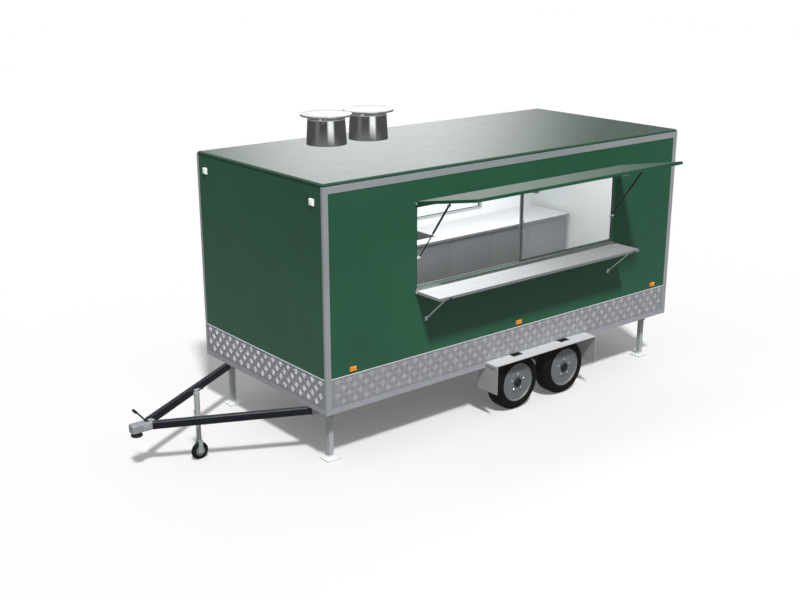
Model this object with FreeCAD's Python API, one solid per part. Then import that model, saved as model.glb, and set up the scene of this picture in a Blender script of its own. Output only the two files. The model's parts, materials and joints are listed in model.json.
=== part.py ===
import math
import os

import FreeCAD
import Part

# Field kitchen trailer. Millimetres. While it is modelled, x runs forward from the middle of the body, y runs
# to the left (the serving side) and z runs up from the ground. On export everything moves so that the origin is
# the centre of the tow ball.

# Driving dimensions: body
body_length = 4960.0
body_width = 2200.0
wall_thickness = 40.0
wall_height = 2039.0
roof_thickness = 40.0
roof_edge_radius = 25.0
floor_thickness = 40.0
skirt_height = 283.0
sheet = 3.0
trim_thickness = 4.0
corner_trim_side_leg = 55.0
corner_trim_end_leg = 25.0
roof_rail_height = 66.0

# Driving dimensions: running gear
tyre_radius = 307.5
tyre_width = 195.0
rim_radius = 190.5
wheel_middle_x = -330.0
tyre_gap = 105.0
tyre_overhang = 75.0
axle_side = 60.0
spindle_radius = 18.0
pin_clearance = 0.05
tyre_to_skirt = 7.0
tyre_to_floor = 25.0
frame_height = 85.0
frame_tube = 40.0
main_rail_height = 100.0
main_rail_width = 60.0
rail_to_tyre = 175.0
spring_thickness = 28.0

# Driving dimensions: drawbar and jockey wheel
drawbar_arm_width = 60.0
drawbar_arm_height = 80.0
drawbar_length = 1280.0
coupling_width = 100.0
coupling_height = 76.0
coupling_length = 245.0
ball_radius = 25.0
jockey_back = 595.0
jockey_y = 100.0
jockey_wheel_radius = 87.0
jockey_wheel_width = 46.0
jockey_tube_radius = 27.0
jockey_leg_radius = 23.0
jockey_crown_clearance = 27.0
jockey_bump_stop = 12.0
jockey_tube_below_rail = 52.0

# Driving dimensions: corner legs
leg_inset_x = 170.0
leg_inset_y = 200.0
leg_side = 50.0
foot_side = 150.0
foot_thickness = 12.0
leg_pivot_below_frame = 85.0

# Driving dimensions: serving side
opening_width = 2874.0
opening_height = 802.0
opening_middle_x = -48.0
opening_sill = 918.0
hatch_thickness = 30.0
hatch_overlap = 15.0
hatch_open_angle = 101.0
hinge_rod_radius = 8.0
hinge_gap = 0.5
panel_clearance = 5.0
counter_depth = 355.0
counter_thickness = 28.0
strut_inset = 49.0
strut_radius = 10.0
strut_rod_radius = 6.0
strut_eye_half = 7.0
strut_foot_half = 14.5
strut_stroke = 330.0
strut_reach = 383.0
strut_drop = 34.0
strut_foot_below_hinge = 542.0
stay_width = 25.0
stay_thickness = 5.0
stay_inset = 122.0
stay_reach = 301.0
stay_foot_drop = 292.0
stay_shoe = 3.0

# Driving dimensions: inside, roof and rear
bench_depth = 663.0
bench_height = 839.0
bench_slab = 29.0
bench_overhang = 30.0
bench_length = 2630.0
range_length = 1300.0
flue_base_radius = 215.0
flue_top_radius = 200.0
flue_height = 270.0
flue_cap_radius = 275.0
flue_cap_thickness = 25.0
flue_cap_gap = 28.0
flue_x = (1200.0, 645.0)
flue_y = -615.0
door_width = 660.0
door_height = 1820.0
door_inset = 130.0
side_window_width = 1490.0

# What follows from them
half_length = body_length / 2
half_width = body_width / 2
floor_bottom = 2 * tyre_radius + tyre_to_floor
floor_top = floor_bottom + floor_thickness
wall_top = floor_top + wall_height
roof_top = wall_top + roof_thickness
frame_bottom = floor_bottom - frame_height
main_rail_bottom = frame_bottom - main_rail_height
skirt_bottom = 2 * tyre_radius + tyre_to_skirt
skirt_top = skirt_bottom + skirt_height
inner_half_width = half_width - wall_thickness
inner_half_length = half_length - wall_thickness
tyre_outer_y = half_width + tyre_overhang
tyre_inner_y = tyre_outer_y - tyre_width
main_rail_y = tyre_inner_y - rail_to_tyre - main_rail_width / 2
wheel_step = tyre_radius + tyre_gap / 2
wheel_x = {"front": wheel_middle_x + wheel_step, "rear": wheel_middle_x - wheel_step}
axle_top = tyre_radius + axle_side / 2
mudguard_front = wheel_x["front"] + tyre_radius + 102.5
mudguard_rear = wheel_x["rear"] - tyre_radius - 72.5
mudguard_outer_y = tyre_outer_y + 100.0
mudguard_top = 2 * tyre_radius
leg_pivot_z = frame_bottom - leg_pivot_below_frame
coupling_x = half_length + drawbar_length - 60.0
ball_x = coupling_x + coupling_length - 60.0
ball_z = main_rail_bottom - 35.0
jockey_x = ball_x - jockey_back
jockey_top = main_rail_bottom + 245.0
jockey_tube_bottom = main_rail_bottom - jockey_tube_below_rail
jockey_crown_top = 2 * jockey_wheel_radius + jockey_crown_clearance
jockey_travel = jockey_tube_bottom - jockey_bump_stop - jockey_crown_top
jockey_clamp_z = main_rail_bottom - 16.0
opening = {
    "x0": opening_middle_x - opening_width / 2,
    "x1": opening_middle_x + opening_width / 2,
    "z0": floor_top + opening_sill,
    "z1": floor_top + opening_sill + opening_height,
}
hatch_x0 = opening["x0"] - hatch_overlap
hatch_x1 = opening["x1"] + hatch_overlap
hatch_axis_y = half_width + 12.0
hatch_axis_z = opening["z1"] + 37.0
counter_top = opening["z0"] - 18.0
counter_axis_y = half_width + 18.0
counter_axis_z = counter_top - 19.0
hatch_length = hatch_axis_z - counter_top - 7.0
inside_y = half_width - wall_thickness
bench_top = floor_top + bench_height
bench_x0 = -inner_half_length + 60.0
bench_x1 = bench_x0 + bench_length
bench_front_y = -inside_y + bench_depth
range_x0 = bench_x1 + 10.0
range_x1 = range_x0 + range_length
side_window_x1 = min(opening["x0"] + side_window_width, range_x0 - 20.0)

X = FreeCAD.Vector(1, 0, 0)
Y = FreeCAD.Vector(0, 1, 0)
Z = FreeCAD.Vector(0, 0, 1)
tow_ball = FreeCAD.Vector(ball_x, 0, ball_z)
sides = {"left": 1, "right": -1}
ends = {"front": 1, "rear": -1}


def vec(x, y, z):
    return FreeCAD.Vector(x, y, z)


def block(x0, x1, y0, y1, z0, z1):
    lo = vec(min(x0, x1), min(y0, y1), min(z0, z1))
    return Part.makeBox(abs(x1 - x0), abs(y1 - y0), abs(z1 - z0), lo)


def rod(start, axis, radius, length):
    return Part.makeCylinder(radius, length, start, axis)


def ring(start, axis, outer, inner, length):
    return rod(start, axis, outer, length).cut(rod(start, axis, inner, length))


def join(pieces):
    body = pieces[0]
    for piece in pieces[1:]:
        body = body.fuse(piece)
    return body.removeSplitter()


def save(name, *shapes):
    placed = []
    for shape in shapes:
        shape = shape.copy()
        shape.translate(tow_ball.negative())
        placed.extend(shape.Solids)
    out = placed[0] if len(placed) == 1 else Part.makeCompound(placed)
    out.exportStep("parts/" + name + ".step")


def rounded_bar(start, end, width, height, radius):
    """A box tube along start to end, level across, with rounded long edges."""
    run = end.sub(start)
    bar = Part.makeBox(run.Length, width, height, vec(0, -width / 2, -height / 2))
    long_edges = [e for e in bar.Edges if abs(e.BoundBox.XLength - run.Length) < 0.01]
    bar = bar.makeFillet(radius, long_edges)
    turn = math.degrees(math.atan2(run.y, run.x))
    tip = -math.degrees(math.asin(run.z / run.Length))
    bar.rotate(vec(0, 0, 0), Y, tip)
    bar.rotate(vec(0, 0, 0), Z, turn)
    bar.translate(start)
    return bar


# Chassis

def chassis_frame():
    """The ring of box tube under the floor, open at the wheels, with its cross members."""
    outer = half_width
    inner = half_width - frame_tube
    pieces = []
    for end in ends.values():
        pieces.append(block(end * half_length, end * (half_length - frame_tube), -outer, outer,
                            frame_bottom, floor_bottom))
    for side in sides.values():
        for x0, x1 in ((mudguard_front, half_length), (-half_length, mudguard_rear)):
            pieces.append(block(x0, x1, side * inner, side * outer, frame_bottom, floor_bottom))
        wheel_y = tyre_inner_y - 30.0
        pieces.append(block(mudguard_rear, mudguard_front, side * wheel_y, side * (wheel_y - frame_tube),
                            frame_bottom, floor_bottom))
        for x in (mudguard_front, mudguard_rear - frame_tube):
            pieces.append(block(x, x + frame_tube, side * (wheel_y - frame_tube), side * inner,
                                frame_bottom, floor_bottom))
    members = 9
    reach = half_length - leg_inset_x
    for index in range(members):
        x = -reach + index * 2 * reach / (members - 1)
        by_wheels = mudguard_rear - frame_tube < x < mudguard_front + frame_tube
        end_y = tyre_inner_y - 30.0 if by_wheels else inner
        pieces.append(block(x - frame_tube / 2, x + frame_tube / 2, -end_y, end_y,
                            frame_bottom, floor_bottom))
    return join(pieces)


def leg_hanger(x, y):
    """Two ears and a pin under the frame, for one corner leg."""
    pieces = []
    gap = leg_side / 2 + 3.0
    for side in (1, -1):
        pieces.append(block(x - 30, x + 30, y + side * gap, y + side * (gap + 6),
                            leg_pivot_z - 25, frame_bottom))
    pieces.append(rod(vec(x, y - gap - 12, leg_pivot_z), Y, 8.0, 2 * gap + 24))
    return join(pieces)


def main_rails():
    rails = []
    for side in sides.values():
        y = side * main_rail_y
        rails.append(block(-half_length + 60, half_length - 40, y - main_rail_width / 2,
                           y + main_rail_width / 2, main_rail_bottom, frame_bottom))
        for end in ends.values():
            rails.append(leg_hanger(end * (half_length - leg_inset_x), side * (half_width - leg_inset_y)))
    return rails


def arm_line(side):
    rear = vec(half_length - 70, side * (main_rail_y + 7), main_rail_bottom + 46)
    front = vec(coupling_x + 40, side * 50, main_rail_bottom + 8)
    return rear, front


def drawbar_arm(side, rails, coupling):
    rear, front = arm_line(side)
    arm = rounded_bar(rear, front, drawbar_arm_width, drawbar_arm_height, 18.0)
    half = coupling_width / 2
    middle = block(half_length, ball_x + 200, -half, half, 0, frame_bottom)
    arm = arm.cut(middle).cut(coupling)
    for rail in rails:
        arm = arm.cut(rail)
    above = block(0, ball_x, -half_width, half_width, frame_bottom, frame_bottom + 300)
    arm = arm.cut(above)
    return max(arm.Solids, key=lambda s: s.Volume)


def tow_coupling():
    """The cast head: a rounded box over the ball, with a bore from below."""
    half = coupling_width / 2
    low = ball_z - 2.0
    head = block(coupling_x, ball_x + 60, -half, half, low, low + coupling_height)
    nose = [e for e in head.Edges if e.BoundBox.XMin > ball_x + 59 and e.BoundBox.ZLength > 20]
    head = head.makeFillet(22.0, nose)
    edges = [e for e in head.Edges
             if e.BoundBox.ZMin > low + coupling_height - 0.1 and e.BoundBox.XMax > coupling_x + 1]
    head = head.makeFillet(12.0, edges)
    bore = rod(vec(ball_x, 0, low - 1), Z, ball_radius, ball_radius + 3)
    return head.cut(bore)


def coupling_socket():
    """The black cup that closes on the ball, a ring below the cast head."""
    low = ball_z - 46.0
    cup = ring(vec(ball_x, 0, low), Z, 52.0, ball_radius, 44.0)
    return cup


def coupling_lever():
    foot = vec(coupling_x + 78, 0, ball_z - 2.0 + coupling_height)
    tip = foot.add(vec(118, 0, 142))
    run = tip.sub(foot)
    bar = rod(foot, run, 8.0, run.Length)
    grip = rod(tip.sub(run.normalize() * 45), run, 10.5, 50)
    pad = block(foot.x - 16, foot.x + 16, -14, 14, foot.z, foot.z + 10)
    under = block(foot.x - 60, foot.x + 60, -60, 60, foot.z - 60, foot.z)
    return join([bar, grip, pad]).cut(under)


# Jockey wheel

def jockey_outer_tube(arm):
    """The fixed tube with its winding handle, clamp collar and the plate welded to the left arm."""
    base = vec(jockey_x, jockey_y, jockey_tube_bottom)
    bore = rod(base, Z, jockey_leg_radius + 0.1, jockey_top - jockey_tube_bottom - 20)
    tube = rod(base, Z, jockey_tube_radius, jockey_top - jockey_tube_bottom)
    collar = rod(vec(jockey_x, jockey_y, jockey_clamp_z - 20), Z, jockey_tube_radius + 10, 40)
    rear, front = arm_line(1)
    slope = (front.y - rear.y) / (front.x - rear.x)
    arm_y = rear.y + slope * (jockey_x - rear.x)
    plate = block(jockey_x - 40, jockey_x + 40, jockey_y + 10, arm_y, jockey_clamp_z - 7, jockey_clamp_z + 7)
    boss = rod(vec(jockey_x, jockey_y, jockey_top), Z, 14.0, 16)
    handle = rod(vec(jockey_x - 75, jockey_y, jockey_top + 20), X, 8.0, 150)
    body = join([tube, collar, plate, boss, handle]).cut(bore).cut(arm)
    return max(body.Solids, key=lambda s: s.Volume)


def jockey_leg():
    """The inner tube, from the fork's crown up into the fixed tube."""
    low = jockey_crown_top
    tube = ring(vec(jockey_x, jockey_y, low), Z, jockey_leg_radius, jockey_leg_radius - 4,
                jockey_top - low - 230)
    foot = rod(vec(jockey_x, jockey_y, low), Z, jockey_leg_radius, 8)
    return join([tube, foot])


def jockey_fork():
    """Crown and two cheeks around the wheel, with the axle pin."""
    half = jockey_wheel_width / 2 + 4
    crown = block(jockey_x - 22, jockey_x + 22, jockey_y - half - 5, jockey_y + half + 5,
                  jockey_crown_top - 6.3, jockey_crown_top - 0.3)
    pieces = [crown]
    for side in (1, -1):
        pieces.append(block(jockey_x - 22, jockey_x + 22, jockey_y + side * half,
                            jockey_y + side * (half + 5), jockey_wheel_radius - 20, jockey_crown_top - 0.3))
    pieces.append(rod(vec(jockey_x, jockey_y - half - 9, jockey_wheel_radius), Y, 8.0, 2 * half + 18))
    return join(pieces)


def jockey_wheel_hub():
    start = vec(jockey_x, jockey_y - jockey_wheel_width / 2, jockey_wheel_radius)
    hub = ring(start, Y, 24.0, 8.0 + pin_clearance, jockey_wheel_width)
    rim_start = vec(jockey_x, jockey_y - 15, jockey_wheel_radius)
    rim = ring(rim_start, Y, 46.0, 20.0, 30)
    return join([hub, rim])


def jockey_tyre():
    start = vec(jockey_x, jockey_y - jockey_wheel_width / 2 + 2, jockey_wheel_radius)
    tyre = rod(start, Y, jockey_wheel_radius, jockey_wheel_width - 4)
    around = 2 * math.pi * jockey_wheel_radius
    tyre = tyre.makeFillet(12.0, [e for e in tyre.Edges if abs(e.Length - around) < 1])
    return tyre.cut(rod(vec(jockey_x, jockey_y - 60, jockey_wheel_radius), Y, 46.0, 120))


# Axles and wheels

def axles():
    beams = []
    reach = tyre_inner_y - 75.0
    for x in wheel_x.values():
        beam = block(x - axle_side / 2, x + axle_side / 2, -reach, reach,
                     tyre_radius - axle_side / 2, tyre_radius + axle_side / 2)
        spindle = rod(vec(x, -tyre_outer_y + 40, tyre_radius), Y, spindle_radius, 2 * tyre_outer_y - 80)
        beams.append(join([beam, spindle]))
    return beams


def leaf_spring(x, side):
    """One spring pack: a shallow arc seated on the axle, its eyes on hangers under the main rail."""
    y0 = side * main_rail_y - main_rail_width / 2
    reach = wheel_step - 60.0
    eye_z = main_rail_bottom - 22.0
    low = [vec(x - reach, y0, eye_z - spring_thickness / 2), vec(x, y0, axle_top),
           vec(x + reach, y0, eye_z - spring_thickness / 2)]
    high = [p.add(vec(0, 0, spring_thickness)) for p in low]
    edges = [Part.Arc(low[0], low[1], low[2]).toShape(), Part.LineSegment(low[2], high[2]).toShape(),
             Part.Arc(high[2], high[1], high[0]).toShape(), Part.LineSegment(high[0], low[0]).toShape()]
    pack = Part.Face(Part.Wire(edges)).extrude(vec(0, main_rail_width, 0))
    pieces = [pack]
    for end in (1, -1):
        pieces.append(block(x + end * reach - 20, x + end * reach + 20, y0, y0 + main_rail_width,
                            eye_z, main_rail_bottom))
    return join(pieces)


def tyre(x, side):
    """A round-shouldered tyre with a hollow carcass, open to the rim."""
    wall = 14.0
    mid = side * (tyre_outer_y - tyre_width / 2)
    half = tyre_width / 2
    shoulder = 35.0

    def section(inset, bead):
        r1 = tyre_radius - inset
        h = half - inset
        s = shoulder - inset * 0.5
        pts = [(mid - h + 22, bead), (mid - h, bead + 45), (mid - h, r1 - s), (mid - h + s, r1),
               (mid + h - s, r1), (mid + h, r1 - s), (mid + h, bead + 45), (mid + h - 22, bead)]
        k = s * (1 - math.sqrt(0.5))
        corners = [vec(0, y, z) for y, z in pts]
        lines = [Part.LineSegment(a, b) for a, b in zip(corners, corners[1:] + corners[:1])]
        lines[2] = Part.Arc(corners[2], vec(0, mid - h + k, r1 - k), corners[3])
        lines[4] = Part.Arc(corners[4], vec(0, mid + h - k, r1 - k), corners[5])
        return Part.Face(Part.Wire([l.toShape() for l in lines])).revolve(vec(0, 0, 0), Y, 360)

    shape = section(0, rim_radius).cut(section(wall, rim_radius - 20))
    shape.translate(vec(x, 0, tyre_radius))
    return shape


def wheel_rim(x, side):
    """Barrel with both flanges, a nearly flat disc near the outer face, and the hub on its spindle."""
    start = vec(x, side * (tyre_inner_y + 18), tyre_radius)
    axis = vec(0, side, 0)
    width = tyre_width - 24
    barrel = ring(start, axis, rim_radius - 0.3, rim_radius - 8, width)
    disc_y = tyre_outer_y - 16.0
    disc = ring(vec(x, side * disc_y, tyre_radius), axis, rim_radius - 4, spindle_radius + 20, 8)
    flange = ring(vec(x, side * (tyre_outer_y - 7), tyre_radius), axis, rim_radius + 19, rim_radius - 8, 5)
    hub = rod(vec(x, side * (tyre_inner_y - 70), tyre_radius), axis, 62.0, tyre_outer_y - tyre_inner_y + 68)
    hub = hub.makeFillet(6.0, [e for e in hub.Edges if abs(e.Length - 2 * math.pi * 62.0) < 0.5])
    nose = rod(vec(x, side * (tyre_outer_y - 10), tyre_radius), axis, 38.0, 16)
    bore = rod(vec(x, side * (tyre_inner_y - 75), tyre_radius), axis, spindle_radius + 2 * pin_clearance,
               tyre_outer_y - tyre_inner_y + 38)
    return join([barrel, disc, flange, hub, nose]).cut(bore)


def mudguard(side):
    """Flat top sheet with a slot over each tyre, and an upright sheet at each end."""
    in_y = half_width - frame_tube
    top = block(mudguard_rear, mudguard_front, side * in_y, side * mudguard_outer_y,
                mudguard_top - sheet, mudguard_top)
    for x in wheel_x.values():
        top = top.cut(block(x - 72, x + 72, side * (in_y - 1), side * (tyre_outer_y - 5),
                            mudguard_top - 10, mudguard_top + 10))
    pieces = [top]
    for x in (mudguard_front - sheet, mudguard_rear):
        pieces.append(block(x, x + sheet, side * (tyre_inner_y + 5), side * mudguard_outer_y,
                            mudguard_top - 320, mudguard_top))
    return join(pieces)


# Corner legs

def corner_leg(end, side):
    x = end * (half_length - leg_inset_x)
    y = side * (half_width - leg_inset_y)
    half = leg_side / 2
    post = block(x - half, x + half, y - half, y + half, foot_thickness, leg_pivot_z + half)
    post = post.cut(block(x - half + 4, x + half - 4, y - half + 4, y + half - 4, foot_thickness + 10,
                          leg_pivot_z + half))
    reach = foot_side / 2
    foot = block(x - reach, x + reach, y - reach, y + reach, 0, foot_thickness)
    bore = rod(vec(x, y - half - 1, leg_pivot_z), Y, 8.0 + pin_clearance, leg_side + 2)
    return join([post, foot]).cut(bore)


# Box body

def floor_panel():
    return block(-half_length, half_length, -half_width, half_width, floor_bottom, floor_top)


def front_wall():
    return block(inner_half_length, half_length, -half_width, half_width, floor_top, wall_top)


door_y1 = half_width - door_inset
door_y0 = door_y1 - door_width


def rear_wall():
    wall = block(-half_length, -inner_half_length, -half_width, half_width, floor_top, wall_top)
    return wall.cut(block(-half_length - 1, -inner_half_length + 1, door_y0, door_y1,
                          floor_top - 1, floor_top + door_height))


def left_wall():
    wall = block(-inner_half_length, inner_half_length, inner_half_width, half_width, floor_top, wall_top)
    return wall.cut(block(opening["x0"], opening["x1"], inner_half_width - 1, half_width + 1,
                          opening["z0"], opening["z1"]))


def right_wall():
    wall = block(-inner_half_length, inner_half_length, -half_width, -inner_half_width, floor_top, wall_top)
    return wall.cut(block(opening["x0"], side_window_x1, -half_width - 1, -inner_half_width + 1,
                          opening["z0"], opening["z1"]))


def roof_panel():
    panel = block(-half_length, half_length, -half_width, half_width, wall_top, roof_top)
    edges = [e for e in panel.Edges if e.BoundBox.ZMin > roof_top - 0.1]
    panel = panel.makeFillet(roof_edge_radius, edges)
    for x in flue_x:
        panel = panel.cut(rod(vec(x, flue_y, wall_top - 1), Z, flue_top_radius - 15, roof_thickness + 2))
    return panel


trim_top = roof_top - roof_edge_radius - 2.0


def corner_trims():
    trims = []
    for end in ends.values():
        for side in sides.values():
            out_x = end * (half_length + trim_thickness)
            out_y = side * (half_width + trim_thickness)
            side_leg = block(out_x, end * (half_length - corner_trim_side_leg), side * half_width, out_y,
                             frame_bottom, trim_top)
            end_leg = block(end * half_length, out_x, out_y, side * (half_width - corner_trim_end_leg),
                            frame_bottom, trim_top)
            trims.append(join([side_leg, end_leg]))
    return trims


def roof_side_rails():
    reach = half_length - corner_trim_side_leg
    return [block(-reach, reach, side * half_width, side * (half_width + trim_thickness),
                  trim_top - roof_rail_height, trim_top) for side in sides.values()]


def tread_plate_skirt():
    plates = []
    reach = half_length - corner_trim_side_leg
    for side in sides.values():
        plates.append(block(-reach, reach, side * half_width, side * (half_width + sheet),
                            skirt_bottom, skirt_top))
    reach = half_width - corner_trim_end_leg
    plates.append(block(half_length, half_length + sheet, -reach, reach, skirt_bottom, skirt_top))
    # the rear plate stops below the door
    rear = block(-half_length - sheet, -half_length, -reach, reach, skirt_bottom, skirt_top)
    plates.append(rear.cut(block(-half_length - 10, -half_length + 10, door_y0, door_y1 + 6,
                                 floor_top - 1, skirt_top)))
    return plates


# Inside

def kitchen_bench():
    """A stainless worktop with a sink, on a front sheet and two end sheets, open at the back."""
    skin = sheet
    slab = block(bench_x0, bench_x1, -inside_y, bench_front_y, bench_top - bench_slab, bench_top)
    slab = slab.cut(block(bench_x0 + skin, bench_x1 - skin, -inside_y + skin, bench_front_y - skin,
                          bench_top - bench_slab - 1, bench_top - skin))
    front_y = bench_front_y - bench_overhang
    under = bench_top - skin
    pieces = [slab, block(bench_x0 + 15, bench_x1, front_y - skin, front_y, floor_top, under)]
    for x in (bench_x0 + 15, bench_x1 - skin):
        pieces.append(block(x, x + skin, -inside_y, front_y, floor_top, under))
    sink_x, sink_y = bench_x1 - 340, -inside_y + 330
    hole = block(sink_x - 210, sink_x + 210, sink_y - 170, sink_y + 170, bench_top - 180, bench_top + 1)
    bowl = block(sink_x - 213, sink_x + 213, sink_y - 173, sink_y + 173, bench_top - 183, bench_top - 1)
    return join(pieces + [bowl]).cut(hole)


def cooking_range():
    """The stove block under the hood, with a raised back and a hob plate."""
    wall = 12.0
    body = block(range_x0, range_x1, -inside_y, bench_front_y - 20, floor_top + 100, bench_top - 20)
    body = body.cut(block(range_x0 + wall, range_x1 - wall, -inside_y + wall, bench_front_y - 20 - wall,
                          floor_top + 99, bench_top - 20))
    hob = block(range_x0, range_x1, -inside_y, bench_front_y, bench_top - 20, bench_top)
    back = block(range_x0, range_x1, -inside_y, -inside_y + 30, bench_top, bench_top + 90)
    pieces = [body, hob, back]
    for x in (range_x0 + 60, range_x1 - 60):
        for y in (-inside_y + 30, bench_front_y - 50):
            pieces.append(rod(vec(x, y, floor_top), Z, 25.0, 110))
    for count in range(4):
        x = range_x0 + (count + 0.5) * range_length / 4
        pieces.append(ring(vec(x, -inside_y + 340, bench_top), Z, 120.0, 100.0, 12))
    return join(pieces)


def range_hood():
    """A sheet canopy under the roof, wide and open below, with round spigots up through the roof."""
    low_z = wall_top - 360.0
    x0, x1 = range_x0 + 40, range_x1 + 60
    y0, y1 = -inside_y, bench_front_y - 20

    def funnel(inset, low, high):
        base = [vec(x0 + inset, y0 + inset, low), vec(x1 - inset, y0 + inset, low),
                vec(x1 - inset, y1 - inset, low), vec(x0 + inset, y1 - inset, low)]
        top = [vec(x0 + inset, y0 + inset, high), vec(x1 - inset, y0 + inset, high),
               vec(x1 - inset, y1 - 150 - inset, high), vec(x0 + inset, y1 - 150 - inset, high)]
        wires = [Part.makePolygon(points + [points[0]]) for points in (base, top)]
        return Part.makeLoft(wires, True, True)

    shell = funnel(0, low_z, wall_top).cut(funnel(4.0, low_z - 1, wall_top - 4))
    pieces = [shell]
    for x in flue_x:
        shell = shell.cut(rod(vec(x, flue_y, low_z), Z, flue_top_radius - 24, 500))
        pieces.append(rod(vec(x, flue_y, wall_top - 4), Z, flue_top_radius - 20, roof_thickness + 24))
    pieces[0] = shell
    hood = join(pieces)
    for x in flue_x:
        hood = hood.cut(rod(vec(x, flue_y, wall_top - 20), Z, flue_top_radius - 24, roof_thickness + 60))
    return hood


def exhaust_flues():
    """Two slightly tapered stacks on the roof, each with a round rain cap on four straps."""
    flues = []
    for x in flue_x:
        base = vec(x, flue_y, roof_top)
        stack = Part.makeCone(flue_base_radius, flue_top_radius, flue_height, base, Z)
        inner = Part.makeCone(flue_base_radius - 3, flue_top_radius - 3, flue_height, base, Z)
        pieces = [stack.cut(inner)]
        cap_z = roof_top + flue_height + flue_cap_gap
        pieces.append(rod(vec(x, flue_y, cap_z), Z, flue_cap_radius, flue_cap_thickness))
        for quarter in range(4):
            angle = math.radians(45 + 90 * quarter)
            strap = block(-8, -1.5, -15, 15, -40, flue_cap_gap + 1)
            strap.translate(vec(flue_top_radius, 0, 0))
            strap.rotate(vec(0, 0, 0), Z, math.degrees(angle))
            strap.translate(vec(x, flue_y, roof_top + flue_height))
            pieces.append(strap)
        flues.append(join(pieces))
    return flues


# Serving side

def hinge_rails():
    """The two rods that the hatch and the counter turn on, each on a flat leaf along the wall."""
    rails = []
    for y, z, x0, x1 in ((hatch_axis_y, hatch_axis_z, hatch_x0 - 12, hatch_x1 + 12),
                         (counter_axis_y, counter_axis_z, hatch_x0 - 12, hatch_x1 + 12)):
        bar = rod(vec(x0, y, z), X, hinge_rod_radius, x1 - x0)
        neck = block(x0, x1, half_width, y, z - 4, z + 4)
        rails.append(join([bar, neck]))
    return rails


def serving_hatch_closed():
    """Modelled shut, hanging from its rod, then swung up to where it is propped."""
    top = hatch_axis_z - hinge_rod_radius - hinge_gap
    inner = half_width + panel_clearance
    panel = block(hatch_x0, hatch_x1, inner, inner + hatch_thickness, hatch_axis_z - hatch_length, top)
    pieces = [panel]
    for x in strut_x:
        lug_x = x - strut_radius - 5.0
        y, z = hatch_axis_y - strut_drop, hatch_axis_z - strut_reach
        pieces.append(block(lug_x, lug_x + 4, y - 9, inner, z - 12, z + 12))
        pieces.append(rod(vec(lug_x, y, z), X, 4.0, x + strut_eye_half + 2 - lug_x))
    return join(pieces)


strut_x = (opening["x1"] - strut_inset, opening["x0"] + strut_inset)


def swing_hatch(shape):
    shape = shape.copy()
    shape.rotate(vec(0, hatch_axis_y, hatch_axis_z), X, hatch_open_angle)
    return shape


def strut_ends():
    """Centres of a strut's upper and lower eyes with the hatch propped open."""
    shut = vec(0, hatch_axis_y - strut_drop, hatch_axis_z - strut_reach)
    turn = FreeCAD.Rotation(X, hatch_open_angle)
    axis = vec(0, hatch_axis_y, hatch_axis_z)
    upper = axis.add(turn.multVec(shut.sub(axis)))
    lower = vec(0, half_width - 22, hatch_axis_z - strut_foot_below_hinge)
    return upper, lower


def strut(x):
    upper, lower = strut_ends()
    run = lower.sub(upper)
    along = vec(0, run.y, run.z).normalize()
    top = vec(x, upper.y, upper.z)
    body_length_strut = run.Length - strut_stroke - 20
    eye = rod(top.sub(vec(strut_eye_half, 0, 0)), X, 11.0, 2 * strut_eye_half)
    tube = rod(top.add(along * 6), along, strut_radius, body_length_strut)
    bore = rod(top.add(along * 24), along, strut_rod_radius + pin_clearance, body_length_strut)
    pin_hole = rod(top.sub(vec(12, 0, 0)), X, 4.0 + pin_clearance, 24)
    cylinder = join([eye, tube]).cut(bore).cut(pin_hole)
    foot = vec(x, lower.y, lower.z)
    rod_length = strut_stroke + 20
    shaft = rod(foot.sub(along * rod_length), along, strut_rod_radius, rod_length)
    foot_eye = rod(foot.sub(vec(strut_foot_half, 0, 0)), X, 10.0, 2 * strut_foot_half)
    return cylinder, join([shaft, foot_eye])


stay_x = (opening["x1"] - stay_inset, opening["x0"] + stay_inset - 48)


def stay_ends():
    upper = vec(0, counter_axis_y + stay_reach, counter_axis_z - 1)
    lower = vec(0, half_width + stay_shoe + 0.5, counter_axis_z - stay_foot_drop)
    return upper, lower


def wall_brackets():
    """A stud at each strut's foot, in the reveal, and a small shoe at each stay's foot."""
    upper, lower = strut_ends()
    brackets = []
    for x, edge in zip(strut_x, (opening["x1"], opening["x0"])):
        side = 1 if edge > x else -1
        stud = block(edge, x + side * (strut_foot_half + hinge_gap), lower.y - 9, lower.y + 9,
                     lower.z - 9, lower.z + 9)
        brackets.append(stud)
    foot = stay_ends()[1]
    for x in stay_x:
        shoe = block(x - 18, x + 18, half_width, half_width + stay_shoe, foot.z - 22, foot.z + 22)
        brackets.append(shoe)
    return brackets


def serving_counter():
    """A folded stainless tray, upside down, notched at its front edge where the stays hang past it."""
    y0 = counter_axis_y + hinge_rod_radius + hinge_gap
    y1 = half_width + counter_depth
    low = counter_top - counter_thickness
    tray = block(hatch_x0, hatch_x1, y0, y1, low, counter_top)
    tray = tray.cut(block(hatch_x0 + sheet, hatch_x1 - sheet, y0 + sheet, y1 - sheet,
                          low - 1, counter_top - sheet))
    upper = stay_ends()[0]
    pieces = [tray]
    for x in stay_x:
        tray = tray.cut(block(x - 18, x + 18, y1 - 10, y1 + 1, low - 1, counter_axis_z + 8))
        for side in (1, -1):
            ear_x = x + side * (stay_width / 2 + 3)
            pieces.append(block(ear_x, ear_x + side * 3, upper.y - 10, upper.y + 10, upper.z - 8,
                                counter_top - sheet))
        pieces.append(rod(vec(x - 18, upper.y, upper.z), X, 3.0, 36))
    pieces[0] = tray
    return join(pieces)


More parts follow.
